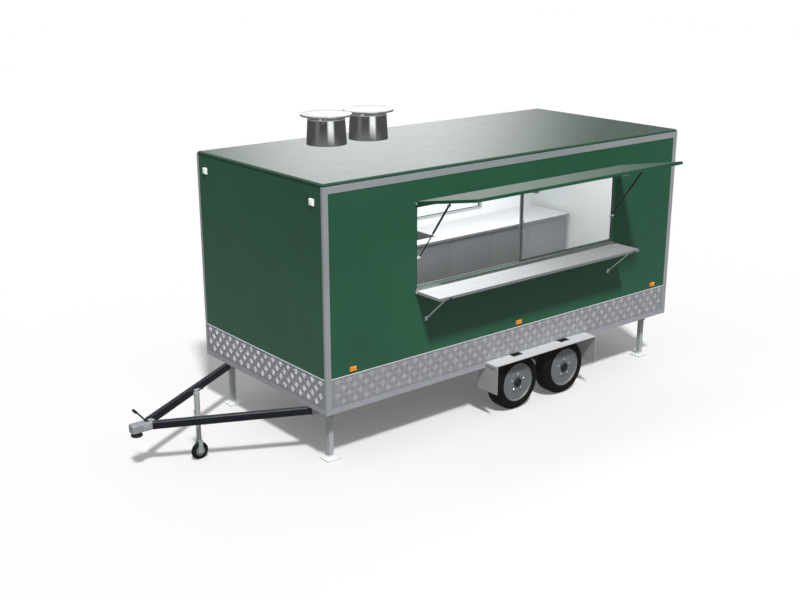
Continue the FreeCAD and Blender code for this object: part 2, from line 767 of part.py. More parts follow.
def counter_stay(x):
    upper, lower = stay_ends()
    run = lower.sub(upper)
    along = vec(0, run.y, run.z).normalize()
    bar = Part.makeBox(stay_width, stay_thickness, run.Length - 4,
                       vec(-stay_width / 2, -stay_thickness / 2, 0))
    turn = FreeCAD.Rotation(Z, along)
    spin = FreeCAD.Placement(vec(x, upper.y, upper.z), turn)
    # the bar's width lies along x whichever way the turn brings it
    width_now = turn.multVec(X)
    bar.Placement = spin
    if abs(width_now.x) < 0.9:
        bar.rotate(vec(x, upper.y, upper.z), along, 90)
    eye = rod(vec(x - stay_width / 2, upper.y, upper.z), X, 6.5, stay_width)
    hole = rod(vec(x - stay_width, upper.y, upper.z), X, 3.0 + pin_clearance, 2 * stay_width)
    stay = join([bar, eye]).cut(hole)
    return stay.cut(block(x - 60, x + 60, 0, half_width + stay_shoe + 0.3, 0, wall_top))


def serving_window_frame():
    """Two tracks and two jambs on the wall's inner face, and the stile of the closed half."""
    y0, y1 = inner_half_width - 18, inner_half_width
    lap = 20.0
    x0, x1, z0, z1 = opening["x0"], opening["x1"], opening["z0"], opening["z1"]
    outer = block(x0 - lap, x1 + lap, y0, y1, z0 - lap, z1 + lap)
    inner = block(x0 + 6, x1 - 6, y0 - 1, y1 + 1, z0 + 12, z1 - 12)
    stile = block(opening_middle_x - 30, opening_middle_x + 6, y0 + 1, y1 - 1, z0 + 12, z1 - 12)
    return join([outer.cut(inner), stile])


def serving_window_glass():
    y0 = inner_half_width - 18
    x0, z0, z1 = opening["x0"], opening["z0"], opening["z1"]
    return block(x0 + 6, opening_middle_x - 30, y0 + 4, y0 + 8, z0 + 12, z1 - 12)


def side_window_frame():
    x0, x1 = opening["x0"], side_window_x1
    z0, z1 = opening["z0"], opening["z1"]
    outer = block(x0, x1, -half_width - 6, -inner_half_width + 6, z0, z1)
    inner = block(x0 + 25, x1 - 25, -half_width - 10, -inner_half_width + 10, z0 + 25, z1 - 25)
    return outer.cut(inner)


def side_window_glass():
    x0 = opening["x0"] + 25
    x1 = side_window_x1 - 25
    return block(x0, x1, -half_width + 15, -half_width + 21, opening["z0"] + 25, opening["z1"] - 25)


# Rear door

door_axis = vec(-half_length - 14, door_y1 - 2, 0)
hinge_heights = (330.0, 950.0, 1570.0)


def rear_door():
    gap = panel_clearance
    panel = block(-half_length, -inner_half_length, door_y0 + gap, door_y1 - gap, floor_top + gap,
                  floor_top + door_height - gap)
    pieces = [panel]
    for height in hinge_heights:
        z = floor_top + height
        barrel = ring(vec(door_axis.x, door_axis.y, z - 30), Z, 9.0, 5.0 + pin_clearance, 60)
        strap = block(-half_length - 4, -half_length, door_axis.y - 75, door_axis.y - 3, z - 30, z + 30)
        strap = strap.cut(rod(vec(door_axis.x, door_axis.y, z - 31), Z, 5.0 + pin_clearance, 62))
        link = block(door_axis.x - 2, -half_length, door_axis.y - 12, door_axis.y - 6.5, z - 30, z + 30)
        pieces += [barrel, strap, link]
    return join(pieces)


def rear_door_hinges():
    """Fixed halves of the hinges: a pin held above and below the door's barrel, on a plate."""
    hinges = []
    for height in hinge_heights:
        z = floor_top + height
        pin = rod(vec(door_axis.x, door_axis.y, z - 52), Z, 5.0, 104)
        plate = block(-half_length - 4, -half_length, door_y1 + 8, door_y1 + 45, z - 52, z + 52)
        pieces = [pin, plate]
        for low in (z - 52, z + 31):
            pieces.append(rod(vec(door_axis.x, door_axis.y, low), Z, 9.0, 21))
            pieces.append(block(door_axis.x - 2, -half_length, door_axis.y, door_y1 + 10, low, low + 21))
        body = join(pieces)
        hinges.append(body.cut(block(-half_length, 0, -half_width, half_width, 0, roof_top)))
    return hinges


def rear_door_handle():
    z = floor_top + 920.0
    y = door_y0 + 70.0
    plate = block(-half_length - 6, -half_length, y - 25, y + 25, z - 90, z + 90)
    boss = rod(vec(-half_length - 45, y, z + 40), X, 11.0, 40)
    grip = block(-half_length - 55, -half_length - 43, y - 14, y + 130, z + 28, z + 52)
    return join([plate, boss, grip])


# Lamps

def front_marker_lamps():
    lamps = []
    for side in sides.values():
        y, z = side * (half_width - 160), roof_top - 183
        lamp = block(half_length, half_length + 22, y - 30, y + 30, z - 30, z + 30)
        lamps.append(lamp.makeFillet(9.0, [e for e in lamp.Edges if e.BoundBox.XMin > half_length + 21]))
    return lamps


def side_marker_lamps():
    lamps = []
    for x in (half_length - 310, opening_middle_x + 28, -half_length + 267):
        for side in sides.values():
            y, z = side * half_width, skirt_top + 53
            lamp = block(x - 35, x + 35, y, y + side * 16, z - 21, z + 21)
            faces = [e for e in lamp.Edges if abs(abs(e.BoundBox.YMin) - half_width - 16) < 0.1 and
                     e.BoundBox.YLength < 0.1]
            lamps.append(lamp.makeFillet(6.0, faces))
    return lamps


def rear_lamps():
    lamps = []
    for side in sides.values():
        y, z = side * (half_width - 62), skirt_top - 110
        lamp = block(-half_length - sheet - 38, -half_length - sheet, y - 32, y + 32, z - 85, z + 85)
        face = [e for e in lamp.Edges if e.BoundBox.XMax < -half_length - sheet - 37]
        lamps.append(lamp.makeFillet(10.0, face))
    return lamps


def main():
    os.makedirs("parts", exist_ok=True)
    rails = main_rails()
    coupling = tow_coupling()
    arms = {name: drawbar_arm(side, rails, coupling) for name, side in sides.items()}
    save("chassis_frame", chassis_frame())
    save("main_rails", *rails)
    for name in sides:
        save(name + "_drawbar_arm", arms[name])
    save("tow_coupling", coupling)
    save("coupling_socket", coupling_socket())
    save("coupling_lever", coupling_lever())
    save("jockey_outer_tube", jockey_outer_tube(arms["left"]))
    save("jockey_leg", jockey_leg())
    save("jockey_fork", jockey_fork())
    save("jockey_wheel_hub", jockey_wheel_hub())
    save("jockey_tyre", jockey_tyre())
    save("axles", *axles())
    save("leaf_springs", *[leaf_spring(x, side) for x in wheel_x.values() for side in sides.values()])
    save("mudguards", *[mudguard(side) for side in sides.values()])
    for end_name, x in wheel_x.items():
        for side_name, side in sides.items():
            save(end_name + "_" + side_name + "_tyre", tyre(x, side))
            save(end_name + "_" + side_name + "_wheel", wheel_rim(x, side))
    for end_name, end in ends.items():
        for side_name, side in sides.items():
            save(end_name + "_" + side_name + "_leg", corner_leg(end, side))
    save("floor_panel", floor_panel())
    save("front_wall", front_wall())
    save("rear_wall", rear_wall())
    save("left_wall", left_wall())
    save("right_wall", right_wall())
    save("roof_panel", roof_panel())
    save("corner_trims", *corner_trims())
    save("roof_side_rails", *roof_side_rails())
    save("tread_plate_skirt", *tread_plate_skirt())
    save("kitchen_bench", kitchen_bench())
    save("cooking_range", cooking_range())
    save("range_hood", range_hood())
    save("exhaust_flues", *exhaust_flues())
    save("hinge_rails", *hinge_rails())
    save("wall_brackets", *wall_brackets())
    save("serving_hatch", swing_hatch(serving_hatch_closed()))
    save("serving_counter", serving_counter())
    for name, x in zip(("front", "rear"), strut_x):
        cylinder, shaft = strut(x)
        save(name + "_strut_cylinder", cylinder)
        save(name + "_strut_rod", shaft)
    for name, x in zip(("front", "rear"), stay_x):
        save(name + "_counter_stay", counter_stay(x))
    save("window_frames", serving_window_frame(), side_window_frame())
    save("window_glass", serving_window_glass(), side_window_glass())
    save("rear_door", rear_door())
    save("rear_door_hinges", *rear_door_hinges())
    save("rear_door_handle", rear_door_handle())
    save("front_marker_lamps", *front_marker_lamps())
    save("side_marker_lamps", *side_marker_lamps())
    save("rear_lamps", *rear_lamps())


main()
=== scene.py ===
import json
from math import cos, pi, radians, sin, tau

import bmesh
import bpy
from mathutils import Matrix, Vector

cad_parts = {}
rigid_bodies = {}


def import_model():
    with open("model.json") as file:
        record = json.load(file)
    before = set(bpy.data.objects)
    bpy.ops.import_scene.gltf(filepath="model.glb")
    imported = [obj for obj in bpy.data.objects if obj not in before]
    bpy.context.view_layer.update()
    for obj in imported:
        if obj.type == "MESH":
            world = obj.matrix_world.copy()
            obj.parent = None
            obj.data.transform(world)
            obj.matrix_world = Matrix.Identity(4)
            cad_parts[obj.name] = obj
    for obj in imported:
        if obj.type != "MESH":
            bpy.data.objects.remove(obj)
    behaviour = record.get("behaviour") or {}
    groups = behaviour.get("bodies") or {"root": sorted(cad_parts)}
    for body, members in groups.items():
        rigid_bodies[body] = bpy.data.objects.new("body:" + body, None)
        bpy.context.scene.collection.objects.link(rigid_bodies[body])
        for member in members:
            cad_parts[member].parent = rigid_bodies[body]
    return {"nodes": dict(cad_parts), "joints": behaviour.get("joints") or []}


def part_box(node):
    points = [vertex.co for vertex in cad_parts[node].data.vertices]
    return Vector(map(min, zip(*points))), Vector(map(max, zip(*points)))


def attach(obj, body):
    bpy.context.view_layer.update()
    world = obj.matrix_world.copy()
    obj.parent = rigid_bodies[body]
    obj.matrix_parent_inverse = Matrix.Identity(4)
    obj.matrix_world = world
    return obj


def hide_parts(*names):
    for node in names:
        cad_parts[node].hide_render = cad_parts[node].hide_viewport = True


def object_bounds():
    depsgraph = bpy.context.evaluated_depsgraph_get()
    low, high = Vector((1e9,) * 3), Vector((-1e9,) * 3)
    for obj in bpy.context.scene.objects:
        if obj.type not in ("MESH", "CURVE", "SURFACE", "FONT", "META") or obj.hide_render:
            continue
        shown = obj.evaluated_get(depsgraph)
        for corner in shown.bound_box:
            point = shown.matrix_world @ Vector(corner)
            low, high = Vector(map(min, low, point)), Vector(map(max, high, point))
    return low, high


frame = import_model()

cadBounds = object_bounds()
nodes = frame["nodes"]
groundZ = cadBounds[0].z
floorLow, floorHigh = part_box("floor_panel")
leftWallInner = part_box("left_wall")[0].y
bodyMiddle = (floorLow + floorHigh) / 2
sideY, frontX, rearX = floorHigh.y, floorHigh.x, floorLow.x
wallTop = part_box("front_wall")[1].z


# small tools
roadDust = {"height": 0.55, "colour": "#8b857a"}  # thins out upwards from the ground


def hexColour(code):
    channels = [int(code[i:i + 2], 16) / 255 for i in (1, 3, 5)]
    return tuple(c / 12.92 if c <= 0.04045 else ((c + 0.055) / 1.055) ** 2.4 for c in channels) + (1.0,)


def addNode(tree, kind, inputs=None, **settings):
    node = tree.nodes.new(kind)
    for name, value in settings.items():
        setattr(node, name, value)
    for key, value in (inputs or {}).items():
        if isinstance(value, bpy.types.NodeSocket):
            tree.links.new(value, node.inputs[key])
        else:
            node.inputs[key].default_value = value
    return node


def calc(tree, operation, *values):
    return addNode(tree, "ShaderNodeMath", dict(enumerate(values)), operation=operation).outputs[0]


def remap(tree, value, fromMin, fromMax, toMin=0.0, toMax=1.0):
    return addNode(tree, "ShaderNodeMapRange", {"Value": value, "From Min": fromMin, "From Max": fromMax,
                                                "To Min": toMin, "To Max": toMax}).outputs[0]


def blend(tree, share, first, second):
    return addNode(tree, "ShaderNodeMix", {0: share, 6: first, 7: second}, data_type="RGBA").outputs[2]


def makeFinish(name, look):
    material = bpy.data.materials.new(name)
    material.use_nodes = True
    tree = material.node_tree
    shader = tree.nodes["Principled BSDF"]
    for socket, value in look.get("shader", {}).items():
        shader.inputs[socket].default_value = value
    place = addNode(tree, "ShaderNodeTexCoord").outputs["Object"]
    drawn = addNode(tree, "ShaderNodeMapping", {"Vector": place,
                                                "Scale": look.get("stretch", (1, 1, 1))}).outputs[0]
    patches = addNode(tree, "ShaderNodeTexNoise", {
        "Vector": drawn, "Scale": 1000 / look["patchMm"], "Detail": 4.0, "Roughness": 0.55}).outputs["Fac"]
    if look.get("spangle"):
        patches = addNode(tree, "ShaderNodeTexVoronoi", {
            "Vector": drawn, "Scale": 1000 / look["patchMm"], "Randomness": 1.0}).outputs["Color"]
    share = remap(tree, patches, look.get("from", 0.3), look.get("to", 0.7))
    colour = blend(tree, share, hexColour(look["dark"]), hexColour(look["light"]))
    apart = addNode(tree, "ShaderNodeSeparateXYZ", {0: place})
    if look.get("dust"):
        low = remap(tree, apart.outputs[2], groundZ, groundZ + roadDust["height"], look["dust"], 0.0)
        colour = blend(tree, calc(tree, "MULTIPLY", low, patches), colour, hexColour(roadDust["colour"]))
    for zone in look.get("zones", []):
        offset = addNode(tree, "ShaderNodeVectorMath", {0: place, 1: zone["middle"]},
                         operation="SUBTRACT").outputs[0]
        size = addNode(tree, "ShaderNodeVectorMath", {0: offset}, operation="ABSOLUTE").outputs[0]
        past = addNode(tree, "ShaderNodeVectorMath", {0: size, 1: zone["half"]},
                       operation="SUBTRACT").outputs[0]
        parts = addNode(tree, "ShaderNodeSeparateXYZ", {0: past})
        widest = calc(tree, "MAXIMUM", calc(tree, "MAXIMUM", parts.outputs[0], parts.outputs[1]),
                      parts.outputs[2])
        colour = blend(tree, calc(tree, "LESS_THAN", widest, 0.0), colour, hexColour(zone["colour"]))
    tree.links.new(colour, shader.inputs["Base Color"])
    grain = addNode(tree, "ShaderNodeTexNoise", {
        "Vector": drawn, "Scale": 1000 / look["grainMm"], "Detail": 3.0, "Roughness": 0.6}).outputs["Fac"]
    tree.links.new(remap(tree, grain, 0.25, 0.75, *look["rough"]), shader.inputs["Roughness"])
    bump = addNode(tree, "ShaderNodeBump", {
        "Height": grain, "Strength": 1.0, "Distance": look["bumpMm"] / 1000}).outputs[0]
    tree.links.new(bump, shader.inputs["Normal"])
    return material


def addBox(bm, low, high, bevel=0.0015, paint=0, turn=None):
    low, high = Vector(low), Vector(high)
    middle, size = (low + high) / 2, high - low
    made = bmesh.ops.create_cube(bm, size=1.0, matrix=Matrix.Diagonal((*size, 1.0)))["verts"]
    if bevel:
        edges = list({e for v in made for e in v.link_edges})
        cut = bmesh.ops.bevel(bm, geom=edges, offset=min(bevel, min(size) * 0.45), segments=2,
                              affect="EDGES", profile=0.6)
        made = list({v for f in cut["faces"] for v in f.verts} | {v for v in made if v.is_valid})
    place = Matrix.Translation(middle) @ (turn.to_4x4() if turn else Matrix.Identity(4))
    bmesh.ops.transform(bm, matrix=place, verts=made)
    for face in {f for v in made for f in v.link_faces}:
        face.material_index = paint


def aim(start, direction):
    return Matrix.Translation(start) @ Vector(direction).to_track_quat("Z", "Y").to_matrix().to_4x4()


def addLathe(bm, profile, place, segments=48, closed=False, paint=0, angles=None, shift=None):
    angles = angles or [tau * i / segments for i in range(segments)]
    rings = []
    for row, (radius, height) in enumerate(profile):
        if radius < 1e-6:
            rings.append([bm.verts.new(place @ Vector((0, 0, height)))])
            continue
        ring = []
        for column, angle in enumerate(angles):
            r, turn = shift(row, column, radius, height) if shift else (radius, 0.0)
            ring.append(bm.verts.new(place @ Vector((r * cos(angle + turn), r * sin(angle + turn), height))))
        rings.append(ring)
    pairs = list(zip(rings, rings[1:])) + ([(rings[-1], rings[0])] if closed else [])
    count = len(angles)
    for lower, upper in pairs:
        for i in range(count):
            j = (i + 1) % count
            corners = [lower[i % len(lower)], lower[j % len(lower)], upper[j % len(upper)],
                       upper[i % len(upper)]]
            corners = list(dict.fromkeys(corners))
            if len(corners) > 2:
                bm.faces.new(corners).material_index = paint


def addRod(bm, start, end, radius, segments=20, chamfer=0.001, paint=0):
    start, end = Vector(start), Vector(end)
    run = (end - start).length
    c = min(chamfer, radius * 0.5, run * 0.3)
    addLathe(bm, [(0, 0), (radius - c, 0), (radius, c), (radius, run - c), (radius - c, run), (0, run)],
             aim(start, end - start), segments, paint=paint)


def addHexBolt(bm, start, direction, across, height, paint=0, washer=1.25):
    place = aim(start, direction)
    r = across / 2 * 1.1547
    if washer:
        addLathe(bm, [(0, 0), (r * washer, 0), (r * washer, height * 0.18), (0, height * 0.18)], place, 20,
                 paint=paint)
    addLathe(bm, [(0, height * 0.1), (r, height * 0.1), (r, height * 0.88), (r * 0.86, height), (0, height)],
             place, 6, paint=paint)


def addPipe(bm, points, radius, segments=10, paint=0):
    points = [Vector(p) for p in points]
    side, rings = None, []
    turns = [tau * k / segments for k in range(segments)]
    for i, point in enumerate(points):
        along = (points[min(i + 1, len(points) - 1)] - points[max(i - 1, 0)]).normalized()
        if side is None:
            side = along.orthogonal().normalized()
        side = (side - along * side.dot(along)).normalized()
        other = along.cross(side)
        rings.append([bm.verts.new(point + (side * cos(a) + other * sin(a)) * radius) for a in turns])
    for a, b in zip(rings, rings[1:]):
        for k in range(segments):
            bm.faces.new((a[k], a[(k + 1) % segments], b[(k + 1) % segments], b[k])).material_index = paint
    bm.faces.new(rings[0][::-1]).material_index = paint
    bm.faces.new(rings[-1]).material_index = paint


def roundedPath(corners, radius, steps=6):
    corners = [Vector(c) for c in corners]
    path = [corners[0]]
    for before, corner, after in zip(corners, corners[1:], corners[2:]):
        a = corner + (before - corner).normalized() * radius
        b = corner + (after - corner).normalized() * radius
        for k in range(steps + 1):
            t = k / steps
            path.append(a * (1 - t) ** 2 + corner * 2 * t * (1 - t) + b * t * t)
    return path + [corners[-1]]


def addRing(bm, corners, width, depth, facing, paint=0):
    corners = [Vector(c) for c in corners]
    middle = sum(corners, Vector()) / len(corners)
    lift = Vector(facing).normalized() * depth
    loops = []
    for inset, rise in ((0, 0), (0, 0.75), (0.25, 1), (0.75, 1), (1, 0.75), (1, 0)):
        loop = []
        for corner in corners:
            across = corner - middle
            across -= Vector(facing).normalized() * across.dot(Vector(facing).normalized())
            pull = Vector([-width * inset * (1 if c > 1e-6 else -1 if c < -1e-6 else 0) for c in across])
            loop.append(bm.verts.new(corner + pull + lift * rise))
        loops.append(loop)
    count = len(corners)
    for a, b in zip(loops, loops[1:] + loops[:1]):
        for i in range(count):
            bm.faces.new((a[i], a[(i + 1) % count], b[(i + 1) % count], b[i])).material_index = paint


def frameCorners(axis, level, low, high):
    # low and high are (across, up), on a plane across the x or y axis
    flat = (low, (high[0], low[1]), high, (low[0], high[1]))
    return [(level, across, up) if axis == "x" else (across, level, up) for across, up in flat]


def piece(name, bm, finishes, body, replaces=(), smooth=32):
    bmesh.ops.recalc_face_normals(bm, faces=bm.faces)
    mesh = bpy.data.meshes.new(name)
    bm.to_mesh(mesh)
    bm.free()
    mesh.shade_smooth()
    mesh.set_sharp_from_angle(angle=radians(smooth))
    made = bpy.data.objects.new(name, mesh)
    bpy.context.scene.collection.objects.link(made)
    for finish in finishes if isinstance(finishes, list) else [finishes]:
        mesh.materials.append(finish)
    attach(made, body)
    if replaces:
        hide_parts(*replaces)
    return made


# geometry node trees
def newTree(name, inputs):
    tree = bpy.data.node_groups.new(name, "GeometryNodeTree")
    tree.interface.new_socket("Geometry", in_out="INPUT", socket_type="NodeSocketGeometry")
    for label, kind, value in inputs:
        socket = tree.interface.new_socket(label, in_out="INPUT", socket_type="NodeSocket" + kind)
        if value is not None:
            socket.default_value = value
    tree.interface.new_socket("Geometry", in_out="OUTPUT", socket_type="NodeSocketGeometry")
    return tree, addNode(tree, "NodeGroupInput").outputs


def closeTree(tree, shape, finish):
    real = addNode(tree, "GeometryNodeRealizeInstances", {0: shape}).outputs[0]
    dressed = addNode(tree, "GeometryNodeSetMaterial", {"Geometry": real, "Material": finish}).outputs[0]
    addNode(tree, "NodeGroupOutput", {0: dressed})


def growInto(bm, tree, values, seed=None):
    base = seed or bpy.data.meshes.new("seed")
    holder = bpy.data.objects.new("holder", base)
    bpy.context.scene.collection.objects.link(holder)
    modifier = holder.modifiers.new("grow", "NODES")
    modifier.node_group = tree
    for item in tree.interface.items_tree:
        if item.in_out == "INPUT" and item.name in values:
            modifier[item.identifier] = values[item.name]
    grown = bpy.data.meshes.new_from_object(holder.evaluated_get(bpy.context.evaluated_depsgraph_get()))
    holder.modifiers.remove(modifier)
    bm.from_mesh(grown)
    bpy.data.objects.remove(holder)
    bpy.data.meshes.remove(grown)
    bpy.data.meshes.remove(base)


def rowsMesh(rows):
    mesh = bpy.data.meshes.new("rows")
    points, edges, facings = [], [], []
    for start, end, facing in rows:
        edges.append((len(points), len(points) + 1))
        points += [start, end]
        facings += [*facing, *facing]
    mesh.from_pydata(points, edges, [])
    mesh.attributes.new("facing", "FLOAT_VECTOR", "POINT").data.foreach_set("vector", facings)
    return mesh


# rows of domed rivets along straight lines, each standing on its own face
rivetTree, inlet = newTree("rivetRows", [("Pitch", "Float", 0.15), ("Radius", "Float", 0.005),
                                         ("Height", "Float", 0.002), ("Finish", "Material", None)])
line = addNode(rivetTree, "GeometryNodeMeshToCurve", {0: inlet["Geometry"]}).outputs[0]
spots = addNode(rivetTree, "GeometryNodeResampleCurve", {"Curve": line, "Length": inlet["Pitch"]},
                mode="LENGTH").outputs[0]
dome = addNode(rivetTree, "GeometryNodeMeshUVSphere", {"Segments": 10, "Rings": 6, "Radius": 1.0}).outputs[0]
scale = addNode(rivetTree, "ShaderNodeCombineXYZ",
                {0: inlet["Radius"], 1: inlet["Radius"], 2: inlet["Height"]}).outputs[0]
head = addNode(rivetTree, "GeometryNodeTransform", {"Geometry": dome, "Scale": scale}).outputs[0]
facing = addNode(rivetTree, "GeometryNodeInputNamedAttribute", {"Name": "facing"},
                 data_type="FLOAT_VECTOR").outputs[0]
turned = addNode(rivetTree, "FunctionNodeAlignRotationToVector", {"Vector": facing}, axis="Z").outputs[0]
spread = addNode(rivetTree, "GeometryNodeInstanceOnPoints",
                 {"Points": spots, "Instance": head, "Rotation": turned}).outputs[0]
closeTree(rivetTree, spread, inlet["Finish"])

# a field of raised bars on a plate, each turned across its neighbours
lugTree, inlet = newTree("treadLugs", [("Length", "Float", 1.0), ("Height", "Float", 0.3),
                                       ("Pitch", "Float", 0.05),
                                       ("Lug", "Object", None), ("Turn", "Rotation", None),
                                       ("Place", "Vector", None),
                                       ("Finish", "Material", None)])
counts = []
for side in ("Length", "Height"):
    share = calc(lugTree, "DIVIDE", inlet[side], inlet["Pitch"])
    whole = calc(lugTree, "FLOOR", share)
    span = calc(lugTree, "SUBTRACT", whole, 1.0)
    counts.append((whole, calc(lugTree, "MULTIPLY", span, inlet["Pitch"])))
field = addNode(lugTree, "GeometryNodeMeshGrid", {"Size X": counts[0][1], "Size Y": counts[1][1],
                                                  "Vertices X": counts[0][0],
                                                  "Vertices Y": counts[1][0]}).outputs[0]
number = addNode(lugTree, "GeometryNodeInputIndex").outputs[0]
column = calc(lugTree, "DIVIDE", number, counts[1][0])
column = calc(lugTree, "FLOOR", column)
row = calc(lugTree, "MODULO", number, counts[1][0])
both = calc(lugTree, "ADD", column, row)
odd = calc(lugTree, "MODULO", both, 2.0)
slant = calc(lugTree, "MULTIPLY_ADD", odd, pi / 2, pi / 4)
across = addNode(lugTree, "ShaderNodeCombineXYZ", {2: slant}).outputs[0]
lug = addNode(lugTree, "GeometryNodeObjectInfo", {"Object": inlet["Lug"]},
              transform_space="ORIGINAL").outputs["Geometry"]
spread = addNode(lugTree, "GeometryNodeInstanceOnPoints",
                 {"Points": field, "Instance": lug, "Rotation": across}).outputs[0]
laid = addNode(lugTree, "GeometryNodeTransform", {
    "Geometry": spread, "Translation": inlet["Place"], "Rotation": inlet["Turn"]}).outputs[0]
closeTree(lugTree, laid, inlet["Finish"])

# copies of one shape stepped along a line
stepTree, inlet = newTree("steppedCopies", [("Count", "Int", 4), ("Start", "Vector", None),
                                            ("Step", "Vector", None),
                                            ("Shape", "Object", None), ("Finish", "Material", None)])
line = addNode(stepTree, "GeometryNodeMeshLine", {
    "Count": inlet["Count"], "Start Location": inlet["Start"], "Offset": inlet["Step"]}).outputs[0]
shape = addNode(stepTree, "GeometryNodeObjectInfo", {"Object": inlet["Shape"]},
                transform_space="ORIGINAL").outputs["Geometry"]
spread = addNode(stepTree, "GeometryNodeInstanceOnPoints", {"Points": line, "Instance": shape}).outputs[0]
closeTree(stepTree, spread, inlet["Finish"])


def patternShape(bm):
    bmesh.ops.recalc_face_normals(bm, faces=bm.faces)
    mesh = bpy.data.meshes.new("pattern")
    bm.to_mesh(mesh)
    bm.free()
    shape = bpy.data.objects.new("pattern", mesh)
    bpy.context.scene.collection.objects.link(shape)
    return shape


